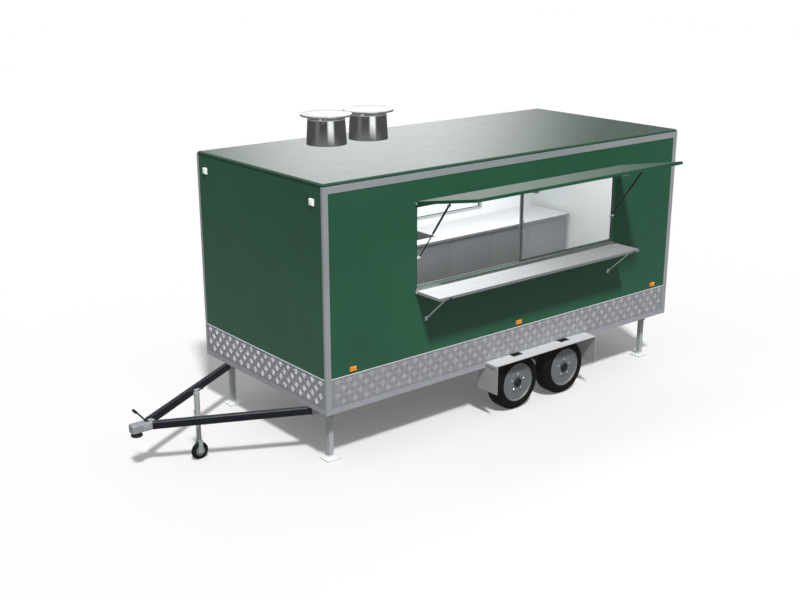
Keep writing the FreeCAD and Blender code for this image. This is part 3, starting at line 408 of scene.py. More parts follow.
# finishes
insideWhite = {"middle": (bodyMiddle.x, 0, (floorHigh.z + wallTop) / 2),
               "half": (frontX - bodyMiddle.x - 0.0015, sideY - 0.0015, (wallTop - floorHigh.z) / 2 + 0.02),
               "colour": "#e9ecec"}
looks = {
    # gel-coated sandwich panel: deep green with a clear gloss, faint ripple, white on the inner face
    "greenGelcoatPanel": {"dark": "#285c43", "light": "#2c6449", "patchMm": 900, "grainMm": 160,
                          "rough": (0.20, 0.25),
                          "bumpMm": 0.05, "zones": [insideWhite],
                          "shader": {"Coat Weight": 0.25, "Coat Roughness": 0.1}},
    # the same gel coat on the hatch, green on both faces
    "greenGelcoatHatch": {"dark": "#24543d", "light": "#285c43", "patchMm": 700, "grainMm": 160,
                          "rough": (0.20, 0.25),
                          "bumpMm": 0.03, "shader": {"Specular IOR Level": 0.28}},
    # roof skin: darker and glossier green than the walls, so the overhead light lies on it as one sheen
    "greenGelcoatRoof": {"dark": "#1a4330", "light": "#1d4835", "patchMm": 900, "grainMm": 160,
                         "rough": (0.15, 0.19),
                         "bumpMm": 0.02, "zones": [insideWhite]},
    # white gel coat of the lamp surrounds and the blank plate
    "whiteGelcoatLining": {"dark": "#dfe2e1", "light": "#eceeed", "patchMm": 500, "grainMm": 120,
                           "rough": (0.28, 0.36),
                           "bumpMm": 0.03},
    # anodised aluminium trim: soft satin grey drawn along its length
    "anodisedAluminiumTrim": {"dark": "#b2b6ba", "light": "#bcc1c5", "patchMm": 260,
                              "stretch": (0.3, 0.3, 0.3),
                              "grainMm": 14, "rough": (0.34, 0.42), "bumpMm": 0.01,
                              "shader": {"Metallic": 0.35}},
    # mill-finish aluminium checker plate: grey; its raised bars take the lighter finish below
    "aluminiumCheckerPlate": {"dark": "#a6a8ad", "light": "#b1b3b8", "patchMm": 180, "grainMm": 16,
                              "rough": (0.36, 0.46), "bumpMm": 0.015, "dust": 0.1,
                              "shader": {"Metallic": 0.4}},
    # the plate's raised bars, painted lighter than the plate between them: a painted highlight for the light
    # the raised bars catch, with some rubbed wear
    "aluminiumRaisedBar": {"dark": "#c8cacf", "light": "#d8dade", "patchMm": 60, "grainMm": 16,
                           "rough": (0.4, 0.5), "bumpMm": 0.01, "shader": {"Metallic": 0.3}},
    # hot-dip galvanised tube: pale grey zinc with spangle
    "galvanisedTube": {"dark": "#b0b2ba", "light": "#bec0c8", "patchMm": 22, "spangle": True, "from": 0.0,
                       "to": 1.0,
                       "grainMm": 14, "rough": (0.42, 0.56), "bumpMm": 0.02, "dust": 0.12,
                       "shader": {"Metallic": 0.3}},
    # galvanised sheet of the mudguards, duller than the tube; a thin band along the tops is painted lighter,
    # a painted highlight where the light falls on them
    "galvanisedSheet": {"dark": "#b6b8ba", "light": "#c0c2c4", "patchMm": 26, "spangle": True, "from": 0.0,
                        "to": 1.0,
                        "grainMm": 30, "rough": (0.3, 0.4), "bumpMm": 0.008, "dust": 0.04,
                        "shader": {"Metallic": 0.3},
                        # painted highlight: the mudguard tops are painted near-white
                        "zones": [{"middle": (bodyMiddle.x, 0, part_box("mudguards")[1].z),
                                   "half": (9, 9, 0.006),
                                   "colour": "#d6d8da"}]},
    # black chassis enamel, slightly chalked with road dust low down
    "blackChassisEnamel": {"dark": "#0b1018", "light": "#101620", "patchMm": 140, "grainMm": 14,
                           "rough": (0.34, 0.46),
                           "bumpMm": 0.02, "dust": 0.02, "shader": {"Specular IOR Level": 0.35}},
    # zinc-plated cast iron coupling head: pale and slightly pitted
    "zincPlatedCasting": {"dark": "#979ca2", "light": "#aaafb5", "patchMm": 45, "grainMm": 7,
                          "rough": (0.45, 0.6),
                          "bumpMm": 0.08, "dust": 0.05, "shader": {"Metallic": 0.3}},
    # bright zinc plate on tubes, bolts and hinges
    "brightZincPlate": {"dark": "#b2bcbd", "light": "#c2cccc", "patchMm": 70, "grainMm": 14,
                        "rough": (0.3, 0.4),
                        "bumpMm": 0.01, "dust": 0.05, "shader": {"Metallic": 0.4}},
    # brushed stainless sheet, grain along the body
    "brushedStainless": {"dark": "#d6dadc", "light": "#e3e7e9", "patchMm": 90, "stretch": (0.12, 1, 1),
                         "grainMm": 9, "rough": (0.13, 0.18), "bumpMm": 0.002, "shader": {"Metallic": 0.9}},
    # dull stainless sheet: mid grey fronts; the worktop is painted lighter, a painted highlight where the
    # light falls on it
    "dullStainlessSheet": {"dark": "#7a7d7f", "light": "#828587", "patchMm": 260, "stretch": (0.2, 1, 1),
                           "grainMm": 12, "rough": (0.4, 0.5), "bumpMm": 0.006, "shader": {"Metallic": 0.3},
                           # painted highlight: the bench worktop is painted pale
                           "zones": [{"middle": (-5.0, -0.74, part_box("kitchen_bench")[1].z),
                                      "half": (9, 0.4, 0.004),
                                      "colour": "#dfe3e5"}]},
    # satin stainless of the flat flue caps: one broad soft highlight
    "satinStainless": {"dark": "#c2c5c7", "light": "#cbced0", "patchMm": 160, "grainMm": 40,
                       "rough": (0.18, 0.24),
                       "bumpMm": 0.004, "shader": {"Metallic": 1.0}},
    # pale zinc plate of the counter stays and wall brackets: nearly white, with little shine
    "paleZincPlate": {"dark": "#dde1e1", "light": "#e8ecec", "patchMm": 70, "grainMm": 14,
                      "rough": (0.36, 0.46),
                      "bumpMm": 0.01, "shader": {"Metallic": 0.15}},
    # mirror-bright stainless flues
    "polishedStainless": {"dark": "#cfd2d3", "light": "#dcdedf", "patchMm": 120, "stretch": (1, 1, 0.15),
                          "grainMm": 90, "rough": (0.04, 0.07), "bumpMm": 0.01, "shader": {"Metallic": 1.0}},
    # wheel paint: flat silver-grey enamel with brake dust
    "silverWheelEnamel": {"dark": "#767b7e", "light": "#7e8386", "patchMm": 90, "grainMm": 20,
                          "rough": (0.34, 0.42),
                          "bumpMm": 0.01, "dust": 0.05, "shader": {"Metallic": 0.2}},
    # tyre rubber: matt black, greyer where it meets the road
    "tyreRubber": {"dark": "#08090a", "light": "#0d0e10", "patchMm": 60, "grainMm": 8, "rough": (0.6, 0.75),
                   "bumpMm": 0.05, "dust": 0.02, "shader": {"Specular IOR Level": 0.2}},
    # galvanised corner legs; the foot plates low down are painted near-white, a painted highlight
    "galvanisedLeg": {"dark": "#bcc5c6", "light": "#cad2d3", "patchMm": 24, "spangle": True, "from": 0.0,
                      "to": 1.0,
                      "grainMm": 12, "rough": (0.4, 0.5), "bumpMm": 0.015, "shader": {"Metallic": 0.25},
                      # painted highlight: the leg feet near the ground are painted near-white
                      "zones": [{"middle": (bodyMiddle.x, 0, groundZ), "half": (9, 9, 0.04),
                                 "colour": "#f6f9fa"}]},
    # satin grey anodised window frame; the far-side frame is painted paler, a painted highlight
    "greyAnodisedFrame": {"dark": "#7d8284", "light": "#8b9092", "patchMm": 120, "grainMm": 12,
                          "rough": (0.35, 0.45),
                           "bumpMm": 0.01, "shader": {"Metallic": 0.4}, "zones": [
                               # painted highlight: the frame on the far side is painted paler
                               {"middle": (bodyMiddle.x, -sideY, 0.9), "half": (9, 0.06, 3),
                                "colour": "#cfd6d8"}]},
    # black nitrided gas-strut tube
    "blackNitridedSteel": {"dark": "#060708", "light": "#0b0d0f", "patchMm": 50, "grainMm": 9,
                           "rough": (0.4, 0.5),
                           "bumpMm": 0.01},
    # moulded black rubber and plastic: seals, hub caps, knobs
    "mouldedBlackRubber": {"dark": "#0d0f11", "light": "#141618", "patchMm": 30, "grainMm": 5,
                           "rough": (0.5, 0.62),
                           "bumpMm": 0.02},
    # cast iron: pan supports and brake drums
    "castIron": {"dark": "#1f1e1e", "light": "#2a2827", "patchMm": 40, "grainMm": 6, "rough": (0.6, 0.78),
                 "bumpMm": 0.06, "shader": {"Metallic": 0.3}},
    # resin-faced birch ply floor: brown-grey film with a fine mesh print
    "phenolicPly": {"dark": "#4a423b", "light": "#5a5149", "patchMm": 300, "grainMm": 4, "rough": (0.5, 0.62),
                    "bumpMm": 0.2},
    # moulded lamp lenses
    "whiteAcrylicLens": {"dark": "#eef0ee", "light": "#fafbfa", "patchMm": 20, "grainMm": 3,
                         "rough": (0.12, 0.2),
                         "bumpMm": 0.1, "shader": {"Emission Color": hexColour("#f4f6f4"),
                                                   "Emission Strength": 0.25}},
    "amberAcrylicLens": {"dark": "#d9801c", "light": "#ee9a34", "patchMm": 20, "grainMm": 3,
                         "rough": (0.12, 0.2),
                         "bumpMm": 0.1, "shader": {"Emission Color": hexColour("#e08a22"),
                                                   "Emission Strength": 0.2}},
    "redAcrylicLens": {"dark": "#8f0f12", "light": "#b81a1c", "patchMm": 20, "grainMm": 3,
                       "rough": (0.12, 0.2),
                       "bumpMm": 0.1, "shader": {"Emission Color": hexColour("#8a0c0e"),
                                                 "Emission Strength": 0.1}},
    # clear float glass: faint blue-green, mostly seen by its gloss
    "clearFloatGlass": {"dark": "#dfe9ea", "light": "#e9f0f0", "patchMm": 400, "grainMm": 300,
                        "rough": (0.02, 0.04),
                        "bumpMm": 0.01, "shader": {"Alpha": 0.22, "IOR": 1.5}},
}
finishes = {name: makeFinish(name, look) for name, look in looks.items()}
hatchGel, lining = finishes["greenGelcoatHatch"], finishes["whiteGelcoatLining"]
trim, zinc, stainless = (finishes[n] for n in ("anodisedAluminiumTrim", "brightZincPlate",
                                               "brushedStainless"))
rubber, iron, blackEnamel = (finishes[n] for n in ("mouldedBlackRubber", "castIron", "blackChassisEnamel"))
print("finishes:", len(finishes))


# camera, lights, floor
cameraSet = {"place": (4.278, 9.152, 4.371), "azimuth": 140.81, "elevation": 17.46, "lens": 51.2}
camera = bpy.data.objects.new("camera", bpy.data.cameras.new("camera"))
camera.data.lens = cameraSet["lens"]
camera.data.sensor_width = 36
camera.data.clip_end = 100
camera.location = cameraSet["place"]
camera.rotation_euler = (radians(90 - cameraSet["elevation"]), 0, radians(cameraSet["azimuth"]))
bpy.context.scene.collection.objects.link(camera)
bpy.context.scene.camera = camera
bpy.context.scene.view_settings.view_transform = "Standard"
bpy.context.scene.view_settings.look = "None"

lightSet = {"sunTurn": Vector((-0.14, -0.29, -0.45)), "sunPower": 2.9, "sunSpread": 5.5, "skyHigh": 0.42,
            "skyLow": 0.2,
            "inside": 74}
sun = bpy.data.objects.new("sun", bpy.data.lights.new("sun", "SUN"))
sun.data.energy = lightSet["sunPower"]
sun.data.angle = radians(lightSet["sunSpread"])
sun.data.specular_factor = 0.25
sun.rotation_euler = lightSet["sunTurn"].to_track_quat("-Z", "Y").to_euler()
bpy.context.scene.collection.objects.link(sun)
inside = bpy.data.objects.new("inside", bpy.data.lights.new("inside", "AREA"))
inside.data.shape = "RECTANGLE"
inside.data.size, inside.data.size_y = 4.2, 1.2
inside.data.energy = lightSet["inside"]
inside.visible_glossy = False
inside.location = (bodyMiddle.x, 0.25, wallTop - 0.06)
bpy.context.scene.collection.objects.link(inside)

# studio surroundings: soft boxes round the object, dark between them, each (bearing, width, level)
# bearings, widths and the soft edge are in degrees
stripBoxes = {"boxes": [(-125, 10, 0.5), (0, 12, 0.2), (80, 20, 1.3)], "base": 0.1, "edge": 15}
backBox = {"boxes": [(-128, 4, 1.6)], "base": 0.1, "edge": 10}
world = bpy.data.worlds.new("studio")
bpy.context.scene.world = world
world.use_nodes = True
sky = world.node_tree
paths = addNode(sky, "ShaderNodeLightPath").outputs
toward = addNode(sky, "ShaderNodeTexCoord").outputs["Generated"]
upward = addNode(sky, "ShaderNodeSeparateXYZ", {0: toward}).outputs[2]
compass = addNode(sky, "ShaderNodeTexGradient", {"Vector": toward}, gradient_type="RADIAL").outputs["Fac"]


def compassRamp(studio):
    stops = [(-180, studio["base"])]
    for middle, width, level in studio["boxes"]:
        near, far = middle - width / 2, middle + width / 2
        stops += [(near - studio["edge"], studio["base"]), (near, level), (far, level),
                  (far + studio["edge"], studio["base"])]
    stops.append((180, studio["base"]))
    top = max(level for angle, level in stops)
    ramp = addNode(sky, "ShaderNodeValToRGB", {"Fac": compass})
    ramp.color_ramp.interpolation = "EASE"
    while len(ramp.color_ramp.elements) < len(stops):
        ramp.color_ramp.elements.new(0.5)
    for stop, (angle, level) in zip(ramp.color_ramp.elements, stops):
        stop.position = angle / 360 + 0.5
    for stop, (angle, level) in zip(ramp.color_ramp.elements, stops):
        stop.color = (level / top, level / top, level / top, 1)
    return calc(sky, "MULTIPLY", ramp.outputs[0], top)


ringLight = compassRamp(stripBoxes)
backLight = compassRamp(backBox)
overhead = remap(sky, upward, 0.15, 0.9, 0.12, 1.1)
fade = remap(sky, upward, 0.2, 0.42, 1.0, 0.0)
glow = calc(sky, "MULTIPLY_ADD", backLight, fade, overhead)
above = remap(sky, upward, 0.02, 0.12)
shiny = addNode(sky, "ShaderNodeMix", {0: above, 2: ringLight, 3: glow}, data_type="FLOAT").outputs[0]
deep = remap(sky, upward, -0.45, -0.15)
shiny = addNode(sky, "ShaderNodeMix", {0: deep, 2: 0.35, 3: shiny}, data_type="FLOAT").outputs[0]
soft = remap(sky, upward, -0.1, 0.1, lightSet["skyLow"], lightSet["skyHigh"])
level = addNode(sky, "ShaderNodeMix", {0: paths["Is Glossy Ray"], 2: soft, 3: shiny},
                data_type="FLOAT").outputs[0]
level = addNode(sky, "ShaderNodeMix", {0: paths["Is Camera Ray"], 2: level, 3: 1.3},
                data_type="FLOAT").outputs[0]
sky.links.new(level, sky.nodes["Background"].inputs["Color"])

floorBm = bmesh.new()
for x, y in ((-60, -60), (60, -60), (60, 60), (-60, 60)):
    floorBm.verts.new((x, y, groundZ))
floorBm.faces.new(floorBm.verts)
floorMesh = bpy.data.meshes.new("studio_floor")
floorBm.to_mesh(floorMesh)
floorBm.free()
studioFloor = bpy.data.objects.new("studio_floor", floorMesh)
bpy.context.scene.collection.objects.link(studioFloor)
studioFloor.visible_glossy = studioFloor.visible_diffuse = False  # only the surroundings light the object
floorPaint = bpy.data.materials.new("paleStudioFloor")
floorPaint.use_nodes = True
for socket, value in {"Base Color": hexColour("#e4e4e4"), "Roughness": 0.9, "Specular IOR Level": 0.1,
                      "Emission Color": hexColour("#ffffff"), "Emission Strength": 0.1}.items():
    floorPaint.node_tree.nodes["Principled BSDF"].inputs[socket].default_value = value
floorMesh.materials.append(floorPaint)
print("camera, lights and floor")


# CAD pieces that keep their shape
nodeFinish = {
    "greenGelcoatPanel": ["front_wall", "rear_wall", "left_wall", "right_wall", "rear_door"],
    "greenGelcoatRoof": ["roof_panel"],
    "greenGelcoatHatch": ["serving_hatch"],
    "phenolicPly": ["floor_panel"],
    "anodisedAluminiumTrim": ["corner_trims", "roof_side_rails", "hinge_rails"],
    "paleZincPlate": ["wall_brackets", "front_counter_stay", "rear_counter_stay"],
    "aluminiumCheckerPlate": ["tread_plate_skirt"],
    "galvanisedTube": ["chassis_frame", "main_rails"],
    "galvanisedSheet": ["mudguards"],
    "galvanisedLeg": [f"{e}_{s}_leg" for e in ("front", "rear") for s in ("left", "right")],
    "blackChassisEnamel": ["left_drawbar_arm", "right_drawbar_arm", "coupling_socket", "coupling_lever",
                           "axles",
                           "leaf_springs"],
    "zincPlatedCasting": ["tow_coupling"],
    "brightZincPlate": ["jockey_outer_tube", "jockey_leg", "jockey_fork", "jockey_wheel_hub",
                        "rear_door_hinges",
                        "rear_door_handle"],
    "brushedStainless": ["serving_counter", "range_hood", "exhaust_flues"],
    "dullStainlessSheet": ["kitchen_bench", "cooking_range"],
    "silverWheelEnamel": [f"{e}_{s}_wheel" for e in ("front", "rear") for s in ("left", "right")],
    "tyreRubber": ["jockey_tyre"] + [f"{e}_{s}_tyre" for e in ("front", "rear") for s in ("left", "right")],
    "greyAnodisedFrame": ["window_frames"],
    "clearFloatGlass": ["window_glass"],
    "blackNitridedSteel": ["front_strut_cylinder", "rear_strut_cylinder", "front_strut_rod",
                           "rear_strut_rod"],
    "whiteAcrylicLens": ["front_marker_lamps"],
    "amberAcrylicLens": ["side_marker_lamps"],
    "redAcrylicLens": ["rear_lamps"],
}
for finish, names in nodeFinish.items():
    for name in names:
        nodes[name].data.materials.clear()
        nodes[name].data.materials.append(finishes[finish])
print("carried-over pieces:", sum(len(n) for n in nodeFinish.values()), "of", len(nodes))


# skirt: raised bars, mouldings and rivets
skirt = {"pitch": 0.0672, "lugLength": 0.058, "lugWidth": 0.0046, "lugGap": 0.0190, "lugHeight": 0.0018,
         "bead": 0.006, "edge": 0.012}
skirtLow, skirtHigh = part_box("tread_plate_skirt")
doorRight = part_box("rear_door")[0].y


def lugShape():
    # three raised bars side by side, each with tapered ends
    bm = bmesh.new()
    outline = ((1, 0), (0.7, 0.85), (0, 1), (-0.7, 0.85), (-1, 0), (-0.7, -0.85), (0, -1), (0.7, -0.85))
    for across in (-skirt["lugGap"], 0, skirt["lugGap"]):
        rings = []
        for share, z in ((1.0, -0.0008), (1.0, 0.0), (0.55, skirt["lugHeight"])):
            reach = skirt["lugLength"] / 2 * (0.9 + 0.1 * share)
            rings.append([bm.verts.new((reach * u, across + skirt["lugWidth"] / 2 * v * share, z)) for u,
                          v in outline])
        for lower, upper in zip(rings, rings[1:]):
            for k in range(8):
                bm.faces.new((lower[k], lower[(k + 1) % 8], upper[(k + 1) % 8], upper[k]))
        bm.faces.new(rings[0][::-1])
        bm.faces.new(rings[-1])
    return patternShape(bm)


lugs = bmesh.new()
lugPattern = lugShape()
plateReach = frontX - bodyMiddle.x - 0.055
fields = []
for side in (1, -1):
    fields.append((Vector((bodyMiddle.x, side * (sideY + 0.003), (skirtLow.z + skirtHigh.z) / 2)),
                   2 * plateReach, skirtHigh.z - skirtLow.z, Matrix.Rotation(-side * pi / 2, 3, "X")))
fields.append((Vector((frontX + 0.003, 0, (skirtLow.z + skirtHigh.z) / 2)), 2 * (sideY - 0.025),
               skirtHigh.z - skirtLow.z, Matrix.Rotation(pi / 2, 3, "Z") @ Matrix.Rotation(pi / 2, 3, "X")))
backward = Matrix.Rotation(-pi / 2, 3, "Z") @ Matrix.Rotation(pi / 2, 3, "X")
for y0, y1, z0, z1 in ((-(sideY - 0.025), sideY - 0.025, skirtLow.z, floorHigh.z),
                       (-(sideY - 0.025), doorRight - 0.01, floorHigh.z, skirtHigh.z)):
    fields.append((Vector((rearX - 0.003, (y0 + y1) / 2, (z0 + z1) / 2)), y1 - y0, z1 - z0, backward))
for centre, length, height, turn in fields:
    growInto(lugs, lugTree, {"Length": length - skirt["edge"], "Height": height - skirt["edge"],
                             "Pitch": skirt["pitch"],
                             "Lug": lugPattern, "Turn": tuple(turn.to_euler()), "Place": tuple(centre),
                             "Finish": finishes["aluminiumRaisedBar"]})
piece("skirt_raised_bars", lugs, finishes["aluminiumRaisedBar"], "trailer")
bpy.data.objects.remove(lugPattern)

mouldings = bmesh.new()
z = skirtHigh.z
runs = [((bodyMiddle.x - plateReach, y, z), (bodyMiddle.x + plateReach, y,
                                             z)) for y in (sideY + 0.003, -sideY - 0.003)]
runs.append(((frontX + 0.003, -sideY + 0.025, z), (frontX + 0.003, sideY - 0.025, z)))
runs.append(((rearX - 0.003, -sideY + 0.025, z), (rearX - 0.003, doorRight - 0.012, z)))
for start, end in runs:
    addRod(mouldings, start, end, skirt["bead"], 10, 0)
piece("skirt_top_moulding", mouldings, finishes["aluminiumRaisedBar"], "trailer")

trimLow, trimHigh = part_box("corner_trims")
rivets = {"pitch": 0.18, "radius": 0.0055, "height": 0.0024, "sideInset": 0.0275, "endInset": 0.0125}
rows = []
for end in (1, -1):
    faceX = (frontX if end > 0 else rearX) + end * 0.004
    for side in (1, -1):
        x = (frontX if end > 0 else rearX) - end * rivets["sideInset"]
        y = side * (sideY + 0.004)
        rows.append(((x, y, trimLow.z + 0.03), (x, y, trimHigh.z - 0.03), (0, side, 0)))
        y = side * (sideY - rivets["endInset"])
        rows.append(((faceX, y, trimLow.z + 0.03), (faceX, y, trimHigh.z - 0.03), (end, 0, 0)))
railLow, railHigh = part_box("roof_side_rails")
for side in (1, -1):
    for z, inset, proud in ((railLow.z + 0.014, 0.04, 0.004), (railHigh.z - 0.014, 0.04, 0.004),
                            (skirtLow.z + 0.012, 0.03, 0.003), (skirtHigh.z - 0.016, 0.03, 0.003)):
        y = side * (sideY + proud)
        rows.append(((railLow.x + inset, y, z), (railHigh.x - inset, y, z), (0, side, 0)))
for z in (skirtLow.z + 0.012, skirtHigh.z - 0.016):
    rows.append(((frontX + 0.003, -sideY + 0.06, z), (frontX + 0.003, sideY - 0.06, z), (1, 0, 0)))
rivetBm = bmesh.new()
growInto(rivetBm, rivetTree, {"Pitch": rivets["pitch"], "Radius": rivets["radius"],
                              "Height": rivets["height"],
                              "Finish": zinc}, rowsMesh(rows))
piece("trim_rivets", rivetBm, zinc, "trailer")
print("skirt and trims")


# road wheels
wheel = {"blocks": 44, "grooveDeep": 0.008, "slant": 0.10, "boltCircle": 0.088, "bolts": 5,
         "capRadius": 0.048}


def tyreProfile(radius, half):
    tread = []
    for y in (-0.045, -0.015, 0.015, 0.045):
        tread += [(radius - abs(y) * 0.03, y - 0.0045), (radius - wheel["grooveDeep"], y - 0.0028),
                  (radius - wheel["grooveDeep"], y + 0.0028), (radius - abs(y) * 0.03, y + 0.0045)]
    right = [(radius - 0.0022, 0.060), (radius - 0.0045, 0.0665), (radius - 0.010, 0.0745),
             (radius - 0.0185, 0.083),
             (radius - 0.029, 0.0895), (radius - 0.033, 0.0895), (radius - 0.036, 0.0920),
             (radius - 0.050, half - 0.0012),
             (radius - 0.064, half), (radius - 0.080, half - 0.0015), (radius - 0.0825, half - 0.0035),
             (radius - 0.0935, half - 0.0045), (radius - 0.0975, half - 0.0095),
             (radius - 0.1035, half - 0.0150),
             (radius - 0.117, half - 0.0215)]
    left = [(r, -y) for r, y in reversed(right)]
    return left + tread + right


def roadTyre(bm, middle, radius, half, outward):
    profile = tyreProfile(radius, half)
    pitchAngle = tau / wheel["blocks"]
    angles = [pitchAngle * (k + part) for k in range(wheel["blocks"])
              for part in (0, 0.035, 0.19, 0.225, 0.6)]

    def shift(row, column, r, y):
        turn = wheel["slant"] * y / half * (1 if abs(y) < 0.08 else 0.85)
        inShoulder = 0.052 < abs(y) < 0.088 and r > radius - 0.032
        return (r - 0.0065 if inShoulder and column % 5 in (1, 2) else r), turn

    addLathe(bm, profile, aim(middle, (0, outward, 0)), closed=True, angles=angles, shift=shift)


def wheelRim(bm, middle, outward):
    # outer face first, then over the lip and back along the barrel
    profile = [(0.0, 0.0845), (0.058, 0.0845), (0.064, 0.0860), (0.104, 0.0860), (0.113, 0.0825),
               (0.164, 0.0825),
               (0.176, 0.0845), (0.184, 0.0835), (0.1895, 0.0815), (0.194, 0.0855), (0.199, 0.0918),
               (0.205, 0.0943),
               (0.2088, 0.0930), (0.2092, 0.0900), (0.206, 0.0868), (0.199, 0.0835), (0.1898, 0.0750),
               (0.1880, 0.0480),
               (0.165, 0.0300), (0.165, -0.0200), (0.1880, -0.0400), (0.1898, -0.0750), (0.199, -0.0835),
               (0.206, -0.0875), (0.2088, -0.0905), (0.204, -0.0930), (0.186, -0.0790), (0.182, -0.0420),
               (0.159, -0.0230), (0.159, 0.0280), (0.176, 0.0450), (0.178, 0.0700), (0.164, 0.0745),
               (0.113, 0.0750), (0.058, 0.0770), (0.0, 0.0770)]
    addLathe(bm, profile, aim(middle, (0, outward, 0)), 96)


def hubFittings(bm, middle, outward):
    place = aim(middle, (0, outward, 0))
    r = wheel["capRadius"]
    addLathe(bm, [(0, 0.083), (r + 0.004, 0.083), (r + 0.004, 0.0862), (r, 0.0872), (r * 0.97, 0.0985),
                  (r * 0.86, 0.1022),
                  (r * 0.6, 0.1032), (0, 0.1034)], place, 40, paint=1)
    for k in range(wheel["bolts"]):
        angle = tau * k / wheel["bolts"] + pi / 2
        spot = Vector(middle) + Vector((wheel["boltCircle"] * cos(angle), outward * 0.0855,
                                        wheel["boltCircle"] * sin(angle)))
        cone = aim(spot, (0, outward, 0))
        addLathe(bm, [(0, 0), (0.0125, 0), (0.0118, 0.0018), (0.0108, 0.003), (0, 0.003)], cone, 16)
        addLathe(bm, [(0, 0.002), (0.0105, 0.002), (0.0105, 0.0115), (0.0088, 0.0145), (0, 0.0155)], cone, 6)


def brakeDrum(bm, middle, outward):
    place = aim(middle, (0, outward, 0))
    addLathe(bm, [(0.022, -0.165), (0.052, -0.165), (0.058, -0.159), (0.058, -0.100), (0.118, -0.0955),
                  (0.124, -0.091),
                  (0.124, -0.045), (0.118, -0.040), (0.062, -0.036), (0.060, 0.070), (0.022, 0.070)], place,
             64, closed=True)
    for k in range(24):
        a = tau * k / 24
        spot = Vector(middle) + Vector((0.124 * cos(a), -outward * 0.068, 0.124 * sin(a)))
        addBox(bm, spot - Vector((0.002, 0.020, 0.004)), spot + Vector((0.002, 0.020, 0.004)), 0.0006,
               turn=Matrix.Rotation(-a, 3, "Y"))


for end in ("front", "rear"):
    for sideName, outward in (("left", 1), ("right", -1)):
        low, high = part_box(f"{end}_{sideName}_tyre")
        middle, radius, half = (low + high) / 2, (high.z - low.z) / 2, (high.y - low.y) / 2
        body = f"{end}_{sideName}_road_wheel"
        bm = bmesh.new()
        roadTyre(bm, middle, radius, half, outward)
        piece(f"{end}_{sideName}_road_tyre", bm, finishes["tyreRubber"], body,
              [f"{end}_{sideName}_tyre"], smooth=28)
        bm = bmesh.new()
        wheelRim(bm, middle, outward)
        piece(f"{end}_{sideName}_steel_rim", bm, finishes["silverWheelEnamel"], body,
              [f"{end}_{sideName}_wheel"])
        bm = bmesh.new()
        hubFittings(bm, middle, outward)
        piece(f"{end}_{sideName}_hub_fittings", bm, [finishes["polishedStainless"], rubber], body)
        bm = bmesh.new()
        brakeDrum(bm, middle, outward)
        piece(f"{end}_{sideName}_brake_drum", bm, iron, body)
print("road wheels")


# springs and axle fittings
spring = {"reach": 0.300, "leaf": 0.0068, "leaves": 4, "width": 0.060, "ubolt": 0.0055}
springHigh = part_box("leaf_springs")[1]


def addLeaf(bm, x, y0, reach, base, rise, full, thick, width, steps=16):
    rings = []
    for k in range(steps + 1):
        u = -1 + 2 * k / steps
        z = base + rise * (u * reach / full) ** 2
        rings.append([bm.verts.new((x + u * reach, y, z + t)) for y, t in
                      ((y0, 0), (y0 + width, 0), (y0 + width, thick), (y0, thick))])
    for a, b in zip(rings, rings[1:]):
        for i in range(4):
            bm.faces.new((a[i], a[(i + 1) % 4], b[(i + 1) % 4], b[i]))
    bm.faces.new(rings[0][::-1])
    bm.faces.new(rings[-1])


springs = bmesh.new()
wheelCentres = {end: sum(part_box(f"{end}_left_tyre"), Vector()) / 2 for end in ("front", "rear")}
for end, centre in wheelCentres.items():
    axleTop, axleBottom = centre.z + 0.030, centre.z - 0.030
    hangerTop = springHigh.z
    eyeZ = hangerTop - 0.022
    rise = eyeZ - 0.014 - axleTop
    for side in (1, -1):
        y0 = side * (springHigh.y - spring["width"] / 2) - spring["width"] / 2
        for leaf in range(spring["leaves"]):
            share = 1.0 - 0.21 * (spring["leaves"] - 1 - leaf)
            addLeaf(springs, centre.x, y0, spring["reach"] * share,
                    axleTop + leaf * (spring["leaf"] + 0.0002),
                    rise, spring["reach"], spring["leaf"], spring["width"])
        for fore in (1, -1):
            x = centre.x + fore * spring["reach"]
            addRod(springs, (x, y0, eyeZ), (x, y0 + spring["width"], eyeZ), 0.0145, 20)
            addBox(springs, (x - 0.020, y0 - 0.0008, eyeZ - 0.018), (x + 0.020, y0 + 0.004, hangerTop), 0.001)
            addBox(springs, (x - 0.020, y0 + spring["width"] - 0.004, eyeZ - 0.018),
                   (x + 0.020, y0 + spring["width"] + 0.0008, hangerTop), 0.001)
            addHexBolt(springs, (x, y0 + spring["width"], eyeZ), (0, 1, 0), 0.019, 0.010)
            addHexBolt(springs, (x, y0, eyeZ), (0, -1, 0), 0.019, 0.010)
        packTop = axleTop + spring["leaves"] * (spring["leaf"] + 0.0002)
        addBox(springs, (centre.x - 0.050, y0 - 0.012, packTop),
               (centre.x + 0.050, y0 + spring["width"] + 0.012, packTop + 0.007))
        for x in (centre.x - 0.038, centre.x + 0.038):
            down, near, far = axleBottom - 0.004, y0 - 0.006, y0 + spring["width"] + 0.006
            addPipe(springs, roundedPath([(x, near, packTop + 0.026), (x, near, down), (x, far, down),
                                          (x, far, packTop + 0.026)], 0.012), spring["ubolt"])
            for y in (near, far):
                addHexBolt(springs, (x, y, packTop + 0.007), (0, 0, 1), 0.017, 0.012)
piece("leaf_spring_packs", springs, blackEnamel, "trailer", ["leaf_springs"])
print("springs")


